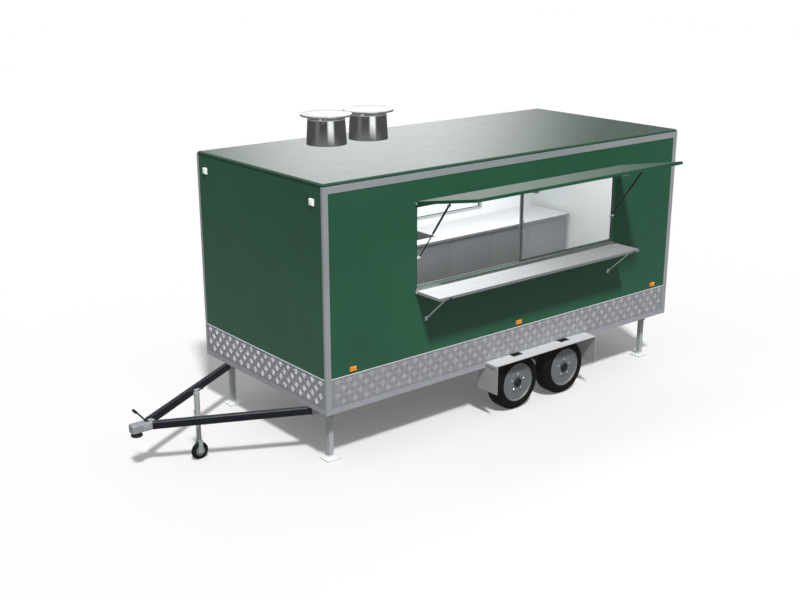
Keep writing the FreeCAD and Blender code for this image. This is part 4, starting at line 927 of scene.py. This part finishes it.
# mudguards: rolled edges and stays
guard = {"bead": 0.005}
guardLow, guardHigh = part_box("mudguards")
edges = bmesh.new()
for side in (1, -1):
    y = side * guardHigh.y
    inner = y - side * guard["bead"]
    corners = [(guardLow.x + 0.004, inner, guardLow.z + 0.004),
               (guardLow.x + 0.004, inner, guardHigh.z - guard["bead"]),
               (guardHigh.x - 0.004, inner, guardHigh.z - guard["bead"]),
               (guardHigh.x - 0.004, inner, guardLow.z + 0.004)]
    addPipe(edges, roundedPath(corners, 0.008), guard["bead"], 8)
    for x in (guardHigh.x - 0.0035, guardLow.x + 0.0035):
        addBox(edges, (x - 0.012, side * (sideY - 0.001), guardHigh.z - 0.030),
               (x + 0.012, side * (sideY + 0.16), guardHigh.z - 0.004))
piece("mudguard_edges", edges, finishes["galvanisedSheet"], "trailer")
print("mudguards")


# coupling: bolts, side plates and rubber parts
headLow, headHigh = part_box("tow_coupling")
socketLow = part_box("coupling_socket")[0]
fit = bmesh.new()
for x in (headLow.x + 0.040, headLow.x + 0.105):
    for side in (1, -1):
        addHexBolt(fit, (x, side * headHigh.y, (headLow.z + headHigh.z) / 2 + 0.004), (0, side, 0), 0.019,
                   0.010)
for side in (1, -1):
    addBox(fit, (headLow.x + 0.010, side * (headHigh.y + 0.0001) - 0.002, headLow.z + 0.012),
           (headLow.x + 0.135, side * (headHigh.y + 0.0001) + 0.002, headHigh.z - 0.014), 0.0015)
piece("coupling_bolts", fit, zinc, "trailer")

fit = bmesh.new()
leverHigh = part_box("coupling_lever")[1]
addLathe(fit, [(0, 0), (0.0115, 0), (0.0125, 0.004), (0.0125, 0.040), (0.010, 0.050), (0, 0.052)],
         aim(Vector((leverHigh.x - 0.030, 0, leverHigh.z - 0.042)), (118, 0, 142)), 24)
addLathe(fit, [(0.0265, -0.001), (0.0535, -0.001), (0.0555, 0.003), (0.0555, 0.010), (0.0525, 0.013),
               (0.0265, 0.013)],
         Matrix.Translation((0, 0, socketLow.z + 0.001)), 48, closed=True)
piece("coupling_rubber", fit, rubber, "trailer")
print("coupling")


# jockey wheel
jockeyLow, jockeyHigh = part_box("jockey_tyre")
jockeyMid = (jockeyLow + jockeyHigh) / 2
jockey = {"radius": (jockeyHigh.z - jockeyLow.z) / 2, "half": (jockeyHigh.y - jockeyLow.y) / 2, "rim": 0.046}
bm = bmesh.new()
r, h = jockey["radius"], jockey["half"]
profile = [(jockey["rim"], -h * 0.62), (jockey["rim"] + 0.008, -h * 0.78), (r - 0.022, -h * 0.98),
           (r - 0.010, -h * 0.88),
           (r - 0.003, -h * 0.66), (r - 0.0005, -h * 0.42), (r - 0.0035, -h * 0.36), (r - 0.0035, -h * 0.24),
           (r, -h * 0.18),
           (r, h * 0.18), (r - 0.0035, h * 0.24), (r - 0.0035, h * 0.36), (r - 0.0005, h * 0.42),
           (r - 0.003, h * 0.66),
           (r - 0.010, h * 0.88), (r - 0.022, h * 0.98), (jockey["rim"] + 0.008, h * 0.78),
           (jockey["rim"], h * 0.62)]
addLathe(bm, profile, aim(jockeyMid, (0, 1, 0)), 64, closed=True)
piece("jockey_solid_tyre", bm, finishes["tyreRubber"], "jockey_wheel", ["jockey_tyre"])
bm = bmesh.new()
for side in (1, -1):
    place = aim(jockeyMid, (0, side, 0))
    addLathe(bm, [(0.0245, 0.0155), (0.041, 0.0155), (0.0455, 0.0175), (0.0475, 0.0190), (0.0478, 0.0170),
                  (0.0455, 0.0140),
                  (0.0245, 0.0125)], place, 48, closed=True)
    for k in range(4):
        a = tau * k / 4 + pi / 4
        addHexBolt(bm, jockeyMid + Vector((0.033 * cos(a), side * 0.0152, 0.033 * sin(a))), (0, side, 0),
                   0.010, 0.006)
piece("jockey_rim_plates", bm, finishes["silverWheelEnamel"], "jockey_wheel")
tubeLow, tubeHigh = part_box("jockey_outer_tube")
bm = bmesh.new()
handleZ = tubeHigh.z - 0.008
tubeX = (tubeLow.x + tubeHigh.x) / 2
for way in (1, -1):
    grip = [(0, 0), (0.0105, 0), (0.0115, 0.003)] + [(0.0115 - 0.0012 * (k % 2),
                                                      0.006 + 0.005 * k) for k in range(7)] + \
           [(0.0115, 0.042), (0.009, 0.047), (0, 0.048)]
    addLathe(bm, grip, aim(Vector((tubeX + way * 0.028, jockeyMid.y, handleZ)), (way, 0, 0)), 20)
piece("jockey_handle_grips", bm, rubber, "trailer")
bm = bmesh.new()
clampZ = groundZ + 0.439
addPipe(bm, roundedPath([(tubeX, jockeyMid.y - 0.030, clampZ), (tubeX, jockeyMid.y - 0.066, clampZ),
                         (tubeX, jockeyMid.y - 0.066, clampZ + 0.05)], 0.010), 0.0055, 10)
addHexBolt(bm, (tubeX, jockeyMid.y - 0.036, clampZ), (0, -1, 0), 0.022, 0.012)
for z in (clampZ - 0.0215, clampZ + 0.0185):
    addLathe(bm, [(0.0275, 0), (0.0385, 0), (0.0385, 0.003), (0.0275, 0.003)],
             Matrix.Translation((tubeX, jockeyMid.y, z)), 40, closed=True)
addLathe(bm, [(0.0272, 0), (0.0300, 0.001), (0.0305, 0.012), (0.0272, 0.014)],
         Matrix.Translation((tubeX, jockeyMid.y, tubeHigh.z - 0.055)), 40, closed=True)
piece("jockey_clamp", bm, zinc, "trailer")
print("jockey wheel")


# corner legs
leg = {"half": 0.025, "plate": 0.012, "gusset": 0.022, "bolt": 0.013}
for end in ("front", "rear"):
    for sideName in ("left", "right"):
        name = f"{end}_{sideName}_leg"
        low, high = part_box(name)
        c = (low + high) / 2
        top = low.z + leg["plate"]
        bm = bmesh.new()
        for a in range(4):
            way = Vector((cos(a * pi / 2), sin(a * pi / 2), 0))
            across = Vector((-way.y, way.x, 0)) * 0.002
            base = Vector((c.x, c.y, top)) + way * leg["half"]
            flat = [base, base + way * leg["gusset"], base + way * leg["gusset"] + Vector((0, 0, 0.004)),
                    base + way * 0.004 + Vector((0, 0, leg["gusset"] * 1.3)),
                    base + Vector((0, 0, leg["gusset"] * 1.3))]
            a0 = [bm.verts.new(p - across) for p in flat]
            a1 = [bm.verts.new(p + across) for p in flat]
            bm.faces.new(a0)
            bm.faces.new(a1[::-1])
            for i in range(5):
                bm.faces.new((a0[i], a0[(i + 1) % 5], a1[(i + 1) % 5], a1[i]))
            corner = Vector((c.x, c.y, top)) + Vector((cos(a * pi / 2 + pi / 4), sin(a * pi / 2 + pi / 4),
                                                       0)) * 0.080
            addHexBolt(bm, corner, (0, 0, 1), leg["bolt"], 0.007)
        for side in (1, -1):
            addHexBolt(bm, (c.x, c.y + side * leg["half"], high.z - 0.085), (0, side, 0), 0.016, 0.009)
        piece(f"{end}_{sideName}_leg_fittings", bm, finishes["galvanisedLeg"], f"{end}_{sideName}_corner_leg")
print("corner legs")


# flues
flue = {"x": (1.200, 0.645), "y": -0.615, "base": 0.215, "top": 0.200, "height": 0.270, "cap": 0.275,
        "capThick": 0.025, "gap": 0.028}
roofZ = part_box("roof_panel")[1].z
bm = bmesh.new()
for offset in flue["x"]:
    place = Matrix.Translation((bodyMiddle.x + offset, flue["y"], roofZ))
    rb, rt, h = flue["base"], flue["top"], flue["height"]
    addLathe(bm, [(rb + 0.001, 0.0), (rb, 0.004), (rt, h - 0.008),
                  (rt + 0.0035, h - 0.0065), (rt + 0.0045, h - 0.003), (rt + 0.0028, h),
                  (rt - 0.001, h - 0.0005),
                  (rt - 0.003, h - 0.006), (rb - 0.003, 0.004), (rb - 0.003, 0.0)], place, 128, closed=True)
    capZ = h + flue["gap"]
    c, t = flue["cap"], flue["capThick"]
    addLathe(bm, [(0, capZ + t), (c * 0.55, capZ + t - 0.0018), (c - 0.010, capZ + t - 0.0045),
                  (c - 0.003, capZ + t - 0.0055),
                  (c, capZ + t - 0.009), (c, capZ + 0.004), (c - 0.003, capZ), (c - 0.012, capZ + 0.0005),
                  (c - 0.016, capZ + 0.006), (0, capZ + 0.008)], place, 128, paint=1)
    for quarter in range(4):
        a = tau * quarter / 4 + pi / 4
        turn = Matrix.Rotation(a, 3, "Z")
        spot = place @ (turn @ Vector((rt - 0.0055, 0, h)))
        addBox(bm, spot - Vector((0.0015, 0.015, 0.040)), spot + Vector((0.0015, 0.015, flue["gap"] + 0.008)),
               0.0008, turn=turn)
        for z in (h - 0.028, h - 0.014):
            head = place @ (turn @ Vector((rt + 0.0005 + (h - z) * 0.055, 0, z)))
            addLathe(bm, [(0, -0.001), (0.0048, -0.001), (0.0044, 0.0012), (0.0026, 0.0024), (0, 0.0028)],
                     aim(head, turn @ Vector((1, 0, 0))), 12)
    seam = Matrix.Rotation(radians(200), 3, "Z")
    foot, top = place @ (seam @ Vector((rb + 0.0005, 0,
                                        0.006))), place @ (seam @ Vector((rt + 0.0005, 0, h - 0.008)))
    addRod(bm, foot, top, 0.0032, 8, 0)
piece("flue_stacks", bm, [finishes["polishedStainless"], finishes["satinStainless"]], "trailer",
      ["exhaust_flues"], smooth=40)
print("flues")


# serving hatch, counter and their rods
hatchJoint = next(j for j in frame["joints"] if j["name"] == "hatch_hinge")
hatchAxis = Vector(hatchJoint["pos_m"])
counterJoint = next(j for j in frame["joints"] if j["name"] == "counter_fold")
counterAxis = Vector(counterJoint["pos_m"])
railsLow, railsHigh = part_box("hinge_rails")
hatch = {"open": radians(101), "length": 0.850, "rod": 0.0085, "clear": 0.005,
         "frame": 0.028, "lining": 0.0012, "latch": 0.64, "overlap": 0.027}
openX0, openX1 = railsLow.x + hatch["overlap"], railsHigh.x - hatch["overlap"]
hatchX0, hatchX1 = openX0 - 0.015, openX1 + 0.015


def openHatch(bm):
    # modelled shut, then swung about the rod to the propped angle
    turn = Matrix.Translation(hatchAxis) @ Matrix.Rotation(hatch["open"], 4,
                                                           "X") @ Matrix.Translation(-hatchAxis)
    bmesh.ops.transform(bm, matrix=turn, verts=bm.verts)


faceY = sideY + hatch["clear"]
topZ, lowZ = hatchAxis.z - hatch["rod"] - 0.010, hatchAxis.z - hatch["length"] + 0.010
bm = bmesh.new()
addBox(bm, (hatchX0 + 0.036, faceY - hatch["lining"], lowZ + 0.036),
       (hatchX1 - 0.036, faceY + 0.001, topZ - 0.026), 0.0004)
openHatch(bm)
piece("hatch_lining", bm, hatchGel, "hatch")
bm = bmesh.new()
corners = frameCorners("y", faceY, (hatchX0 + 0.010, lowZ), (hatchX1 - 0.010, topZ))
addRing(bm, corners, hatch["frame"], 0.0018, (0, -1, 0))
openHatch(bm)
piece("hatch_inner_frame", bm, hatchGel, "hatch")
bm = bmesh.new()
middleX = (openX0 + openX1) / 2
for x in (middleX - hatch["latch"], middleX + hatch["latch"]):
    z = lowZ + 0.075
    addBox(bm, (x - 0.040, faceY - 0.012, z - 0.020), (x + 0.040, faceY - 0.0005, z + 0.020), 0.003)
    addBox(bm, (x - 0.010, faceY - 0.022, z - 0.034), (x + 0.010, faceY - 0.011, z + 0.010), 0.003)
    for px in (x - 0.030, x + 0.030):
        addHexBolt(bm, (px, faceY - 0.0115, z), (0, -1, 0), 0.008, 0.003, washer=0)
openHatch(bm)
piece("hatch_latches", bm, zinc, "hatch")

bm = bmesh.new()
for axis, x0, x1 in ((hatchAxis, railsLow.x, railsHigh.x), (counterAxis, railsLow.x, railsHigh.x)):
    for x, way in ((x0, 1), (x1, -1)):
        addLathe(bm, [(0, 0), (0.0085, 0.0), (0.0115, 0.0025), (0.0118, 0.0075), (0.0100, 0.0105),
                      (0.0082, 0.0112), (0, 0.0112)],
                 aim(Vector((x, axis.y, axis.z)), (way, 0, 0)), 24)
piece("hinge_rod_knobs", bm, zinc, "trailer")
bm = bmesh.new()
openZ0, openZ1 = counterAxis.z + 0.019 + 0.018, hatchAxis.z - 0.037
sealCorners = frameCorners("y", sideY - 0.0005, (openX0 - 0.012, openZ0 - 0.009),
                           (openX1 + 0.012, openZ1 + 0.010))
addRing(bm, sealCorners, 0.0085, 0.0022, (0, 1, 0))
piece("opening_seal", bm, hatchGel, "trailer")
bm = bmesh.new()
reveal = 0.0016
for x0, x1, z0, z1 in ((openX0 - reveal, openX0 + reveal, openZ0, openZ1),
                       (openX1 - reveal, openX1 + reveal, openZ0, openZ1),
                       (openX0, openX1, openZ1 - reveal, openZ1 + reveal),
                       (openX0, openX1, openZ0 - reveal, openZ0 + reveal)):
    addBox(bm, (x0, leftWallInner, z0), (x1, sideY + 0.001, z1), 0.0006)
piece("opening_reveal_trim", bm, hatchGel, "trailer")

bm = bmesh.new()
addBox(bm, (openX0 - 0.010, sideY - 0.001, counterAxis.z + 0.010),
       (openX1 + 0.010, sideY + 0.0016, openZ0 + 0.0016), 0.0006)
piece("opening_sill", bm, trim, "trailer")
counterLow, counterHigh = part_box("serving_counter")
bm = bmesh.new()
for x in (counterLow.x + 0.42, (counterLow.x + counterHigh.x) / 2, counterHigh.x - 0.42):
    addBox(bm, (x - 0.025, counterLow.y + 0.020, counterHigh.z - 0.016),
           (x + 0.025, counterHigh.y - 0.020, counterHigh.z - 0.0028), 0.002)
piece("counter_stiffeners", bm, stainless, "counter")
for end in ("front", "rear"):
    rodLow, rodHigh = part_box(f"{end}_strut_rod")
    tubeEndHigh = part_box(f"{end}_strut_cylinder")[1]
    foot = Vector(((rodLow.x + rodHigh.x) / 2, rodLow.y + 0.010, rodLow.z + 0.010))
    head = Vector((foot.x, tubeEndHigh.y - 0.011, tubeEndHigh.z - 0.011))
    along = (head - foot).normalized()
    bm = bmesh.new()
    addLathe(bm, [(0.0058, 0), (0.0105, 0), (0.0120, 0.002), (0.0120, 0.008), (0.0105, 0.010),
                  (0.0058, 0.010)],
             aim(foot + along * 0.002, along), 24, closed=True)
    # the sockets take the glowing white lens finish, so they glow as a painted highlight though they are no
    # lamps
    piece(f"{end}_strut_socket", bm, finishes["whiteAcrylicLens"], f"{end}_strut_shaft")
print("hatch and counter")


# windows
glassLow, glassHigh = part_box("window_glass")
sideLight = {"width": 1.490, "rail": 0.025, "bead": 0.007}
bm = bmesh.new()
x0, x1 = openX0 + sideLight["rail"], openX0 + sideLight["width"] - sideLight["rail"]
z0, z1 = openZ0 + sideLight["rail"], openZ1 - sideLight["rail"]
for y, way in ((glassLow.y - 0.0005, -1), (glassLow.y + 0.0065, 1)):
    addRing(bm, frameCorners("y", y, (x0, z0), (x1, z1)), sideLight["bead"], 0.005, (0, way, 0))
gx0, gx1, gz0, gz1 = openX0 + 0.006, middleX - 0.030, openZ0 + 0.012, openZ1 - 0.012
for y, way in ((glassHigh.y - 0.0045, -1), (glassHigh.y, 1)):
    addRing(bm, frameCorners("y", y, (gx0, gz0), (gx1, gz1)), sideLight["bead"], 0.003, (0, way, 0))
piece("window_gaskets", bm, rubber, "trailer")
bm = bmesh.new()
pullX = middleX - 0.012
pull = roundedPath([(pullX, glassHigh.y + 0.006, openZ0 + 0.33), (pullX, glassHigh.y + 0.030, openZ0 + 0.33),
                    (pullX, glassHigh.y + 0.030, openZ0 + 0.46), (pullX, glassHigh.y + 0.006, openZ0 + 0.46)],
                   0.010)
addPipe(bm, pull, 0.0045, 10)
piece("window_pull", bm, trim, "trailer")
print("windows")


# kitchen inside
benchLow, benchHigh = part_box("kitchen_bench")
rangeLow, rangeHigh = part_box("cooking_range")
benchFrontY = benchHigh.y - 0.030
kitchen = {"doors": 4, "gap": 0.004, "kick": 0.10, "burner": 0.110}
bm = bmesh.new()
width = (benchHigh.x - benchLow.x - 0.03) / kitchen["doors"]
for k in range(kitchen["doors"]):
    x = benchLow.x + 0.020 + k * width
    addBox(bm, (x + kitchen["gap"], benchFrontY - 0.0005, floorHigh.z + kitchen["kick"]),
           (x + width - kitchen["gap"], benchFrontY + 0.0018, benchHigh.z - 0.045), 0.0008)
piece("bench_doors", bm, finishes["dullStainlessSheet"], "trailer")
bm = bmesh.new()
sinkX, sinkY = benchHigh.x - 0.340, benchLow.y + 0.330
tapY = sinkY - 0.225
addLathe(bm, [(0, 0), (0.027, 0), (0.027, 0.004), (0.021, 0.009), (0.0185, 0.070), (0.012, 0.085),
              (0, 0.086)],
         Matrix.Translation((sinkX, tapY, benchHigh.z)), 28)
addPipe(bm, roundedPath([(sinkX, tapY, benchHigh.z + 0.07), (sinkX, tapY, benchHigh.z + 0.27),
                         (sinkX, tapY + 0.17, benchHigh.z + 0.27),
                         (sinkX, tapY + 0.17, benchHigh.z + 0.19)], 0.075, 10), 0.0105, 14)
addPipe(bm, [(sinkX + 0.016, tapY, benchHigh.z + 0.055), (sinkX + 0.045, tapY, benchHigh.z + 0.072),
             (sinkX + 0.085, tapY, benchHigh.z + 0.096)], 0.0055, 10)
addLathe(bm, [(0, -0.181), (0.028, -0.181), (0.032, -0.1795), (0, -0.1795)],
         Matrix.Translation((sinkX, sinkY, benchHigh.z)), 28)
piece("sink_mixer", bm, finishes["polishedStainless"], "trailer")

bm = bmesh.new()
rangeFrontY = rangeHigh.y - 0.020
rangeWidth = rangeHigh.x - rangeLow.x
for k in range(2):
    x = rangeLow.x + k * rangeWidth / 2
    addBox(bm, (x + 0.012, rangeFrontY - 0.001, floorHigh.z + 0.13),
           (x + rangeWidth / 2 - 0.012, rangeFrontY + 0.014, rangeHigh.z - 0.31), 0.004)
    addBox(bm, (x + 0.09, rangeFrontY + 0.013, floorHigh.z + 0.22),
           (x + rangeWidth / 2 - 0.09, rangeFrontY + 0.0155, rangeHigh.z - 0.44), 0.002, paint=1)
    addPipe(bm, roundedPath([(x + 0.09, rangeFrontY + 0.012, rangeHigh.z - 0.345),
                             (x + 0.09, rangeFrontY + 0.048, rangeHigh.z - 0.345),
                             (x + rangeWidth / 2 - 0.09, rangeFrontY + 0.048, rangeHigh.z - 0.345),
                             (x + rangeWidth / 2 - 0.09, rangeFrontY + 0.012, rangeHigh.z - 0.345)], 0.015),
            0.0085, 12)
piece("range_doors", bm, [stainless, rubber], "trailer")
bm = bmesh.new()
knobs = bmesh.new()
addLathe(knobs, [(0, 0), (0.023, 0), (0.024, 0.004), (0.019, 0.008), (0.0175, 0.024), (0.015, 0.027),
                 (0, 0.0275)],
         aim(Vector((0, 0, 0)), (0, 1, 0)), 24)
knobShape = patternShape(knobs)
growInto(bm, stepTree, {"Count": 6, "Start": (rangeLow.x + rangeWidth / 12, rangeFrontY - 0.001,
                                              rangeHigh.z - 0.165),
                        "Step": (rangeWidth / 6, 0, 0), "Shape": knobShape, "Finish": rubber})
bpy.data.objects.remove(knobShape)
piece("range_knobs", bm, rubber, "trailer")
bm = bmesh.new()
grate = bmesh.new()
r = kitchen["burner"]
for a in range(8):
    way = Vector((cos(a * pi / 4), sin(a * pi / 4), 0))
    near, far = way * 0.035, way * (r + 0.022)
    addPipe(grate, [near + Vector((0, 0, 0.021)), far + Vector((0, 0, 0.021)), far + Vector((0, 0, 0.002))],
            0.0048, 6)
addLathe(grate, [(r + 0.012, 0.013), (r + 0.022, 0.013), (r + 0.022, 0.021), (r + 0.012, 0.021)],
         Matrix.Identity(4), 40, closed=True)
addLathe(grate, [(0, 0.001), (0.045, 0.001), (0.045, 0.010), (0.040, 0.014), (0, 0.016)], Matrix.Identity(4),
         28)
grateShape = patternShape(grate)
growInto(bm, stepTree, {"Count": 4, "Start": (rangeLow.x + rangeWidth / 8, rangeLow.y + 0.340,
                                              rangeHigh.z - 0.090),
                        "Step": (rangeWidth / 4, 0, 0), "Shape": grateShape, "Finish": iron})
bpy.data.objects.remove(grateShape)
piece("burner_grates", bm, iron, "trailer")

hoodLow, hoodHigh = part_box("range_hood")
bm = bmesh.new()
slat = bmesh.new()
slatWidth = hoodHigh.x - hoodLow.x - 0.10
addBox(slat, (-slatWidth / 2, -0.016, -0.0012), (slatWidth / 2, 0.016, 0.0012), 0.0005,
       turn=Matrix.Rotation(radians(35), 3, "X"))
slatShape = patternShape(slat)
growInto(bm, stepTree, {"Count": 14, "Start": ((hoodLow.x + hoodHigh.x) / 2, hoodLow.y + 0.09,
                                               hoodLow.z + 0.060),
                        "Step": (0, 0.032, 0), "Shape": slatShape, "Finish": stainless})
bpy.data.objects.remove(slatShape)
for x in (hoodLow.x + 0.05, hoodHigh.x - 0.05, (hoodLow.x + hoodHigh.x) / 2):
    addBox(bm, (x - 0.010, hoodLow.y + 0.006, hoodLow.z + 0.048),
           (x + 0.010, hoodHigh.y - 0.03, hoodLow.z + 0.072), 0.001)
piece("hood_filters", bm, stainless, "trailer")
print("kitchen")


# lamps
bm = bmesh.new()
lampLow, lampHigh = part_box("side_marker_lamps")
for x in (lampHigh.x - 0.035, middleX + 0.028, lampLow.x + 0.035):
    for side in (1, -1):
        y = side * (sideY - 0.0004)
        addRing(bm, frameCorners("y", y, (x - 0.0375, lampLow.z - 0.002), (x + 0.0375, lampHigh.z + 0.002)),
                0.003, 0.004, (0, side, 0), paint=1)
frontLow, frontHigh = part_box("front_marker_lamps")
z = (frontLow.z + frontHigh.z) / 2
for side in (1, -1):
    y = side * (frontHigh.y - 0.030)
    addRing(bm, frameCorners("x", frontX - 0.0004, (y - 0.032, z - 0.032), (y + 0.032, z + 0.032)),
            0.003, 0.004, (1, 0, 0), paint=2)
rearLow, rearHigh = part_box("rear_lamps")
for side in (1, -1):
    y = side * (rearHigh.y - 0.032)
    addRing(bm, frameCorners("x", rearHigh.x + 0.0004, (y - 0.037, rearLow.z - 0.005),
                             (y + 0.037, rearHigh.z + 0.005)),
            0.005, 0.012, (-1, 0, 0))
piece("lamp_bezels", bm, [rubber, finishes["amberAcrylicLens"], lining], "trailer")

bm = bmesh.new()
height = (rearHigh.z - rearLow.z) / 3
for side in (1, -1):
    y = side * (rearHigh.y - 0.032)
    for k in range(3):
        addBox(bm, (rearLow.x, y - 0.031, rearLow.z + k * height + 0.001),
               (rearHigh.x, y + 0.031, rearLow.z + (k + 1) * height - 0.001),
               0.007, paint=k)
piece("rear_lamp_lenses", bm, [finishes["whiteAcrylicLens"], finishes["redAcrylicLens"],
                               finishes["amberAcrylicLens"]],
      "trailer", ["rear_lamps"])

plate = {"width": 0.340, "height": 0.150, "y": -0.30, "rim": 0.006}
bm = bmesh.new()
y, z = plate["y"], skirtLow.z + 0.150
halfWide, halfTall = plate["width"] / 2, plate["height"] / 2
addBox(bm, (rearX - 0.0095, y - halfWide, z - halfTall), (rearX - 0.0042, y + halfWide, z + halfTall), 0.002,
       paint=0)
plateCorners = frameCorners("x", rearX - 0.009, (y - halfWide - plate["rim"], z - halfTall - plate["rim"]),
                            (y + halfWide + plate["rim"], z + halfTall + plate["rim"]))
addRing(bm, plateCorners, 0.008, 0.003, (-1, 0, 0), paint=1)
addBox(bm, (rearX - 0.034, y - 0.055, z + halfTall + 0.014), (rearX - 0.003, y + 0.055, z + halfTall + 0.034),
       0.004,
       paint=1)
piece("number_plate_blank", bm, [lining, rubber], "trailer")
print("lamps")


# rear door
bm = bmesh.new()
door = {"width": 0.650, "foot": 0.005, "head": 1.815, "gap": 0.003, "edge": 0.001}
hinge = next(j for j in frame["joints"] if j["name"] == "rear_door_hinge")
edgeY1 = Vector(hinge["pos_m"]).y - door["gap"]
edgeY0 = edgeY1 - door["width"]
edgeZ0, edgeZ1 = floorHigh.z + door["foot"], floorHigh.z + door["head"]
doorCorners = frameCorners("x", rearX + 0.0004, (edgeY0 + door["edge"], edgeZ0 + door["edge"]),
                           (edgeY1 - door["edge"], edgeZ1 - door["edge"]))
addRing(bm, doorCorners, 0.026, 0.0024, (-1, 0, 0))
piece("door_edge_frame", bm, trim, "door")
print("rear door")


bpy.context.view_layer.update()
# shine comes from the soft boxes alone, as in a plain product studio
for shown in bpy.data.objects:
    if shown.type == "MESH":
        shown.visible_glossy = False
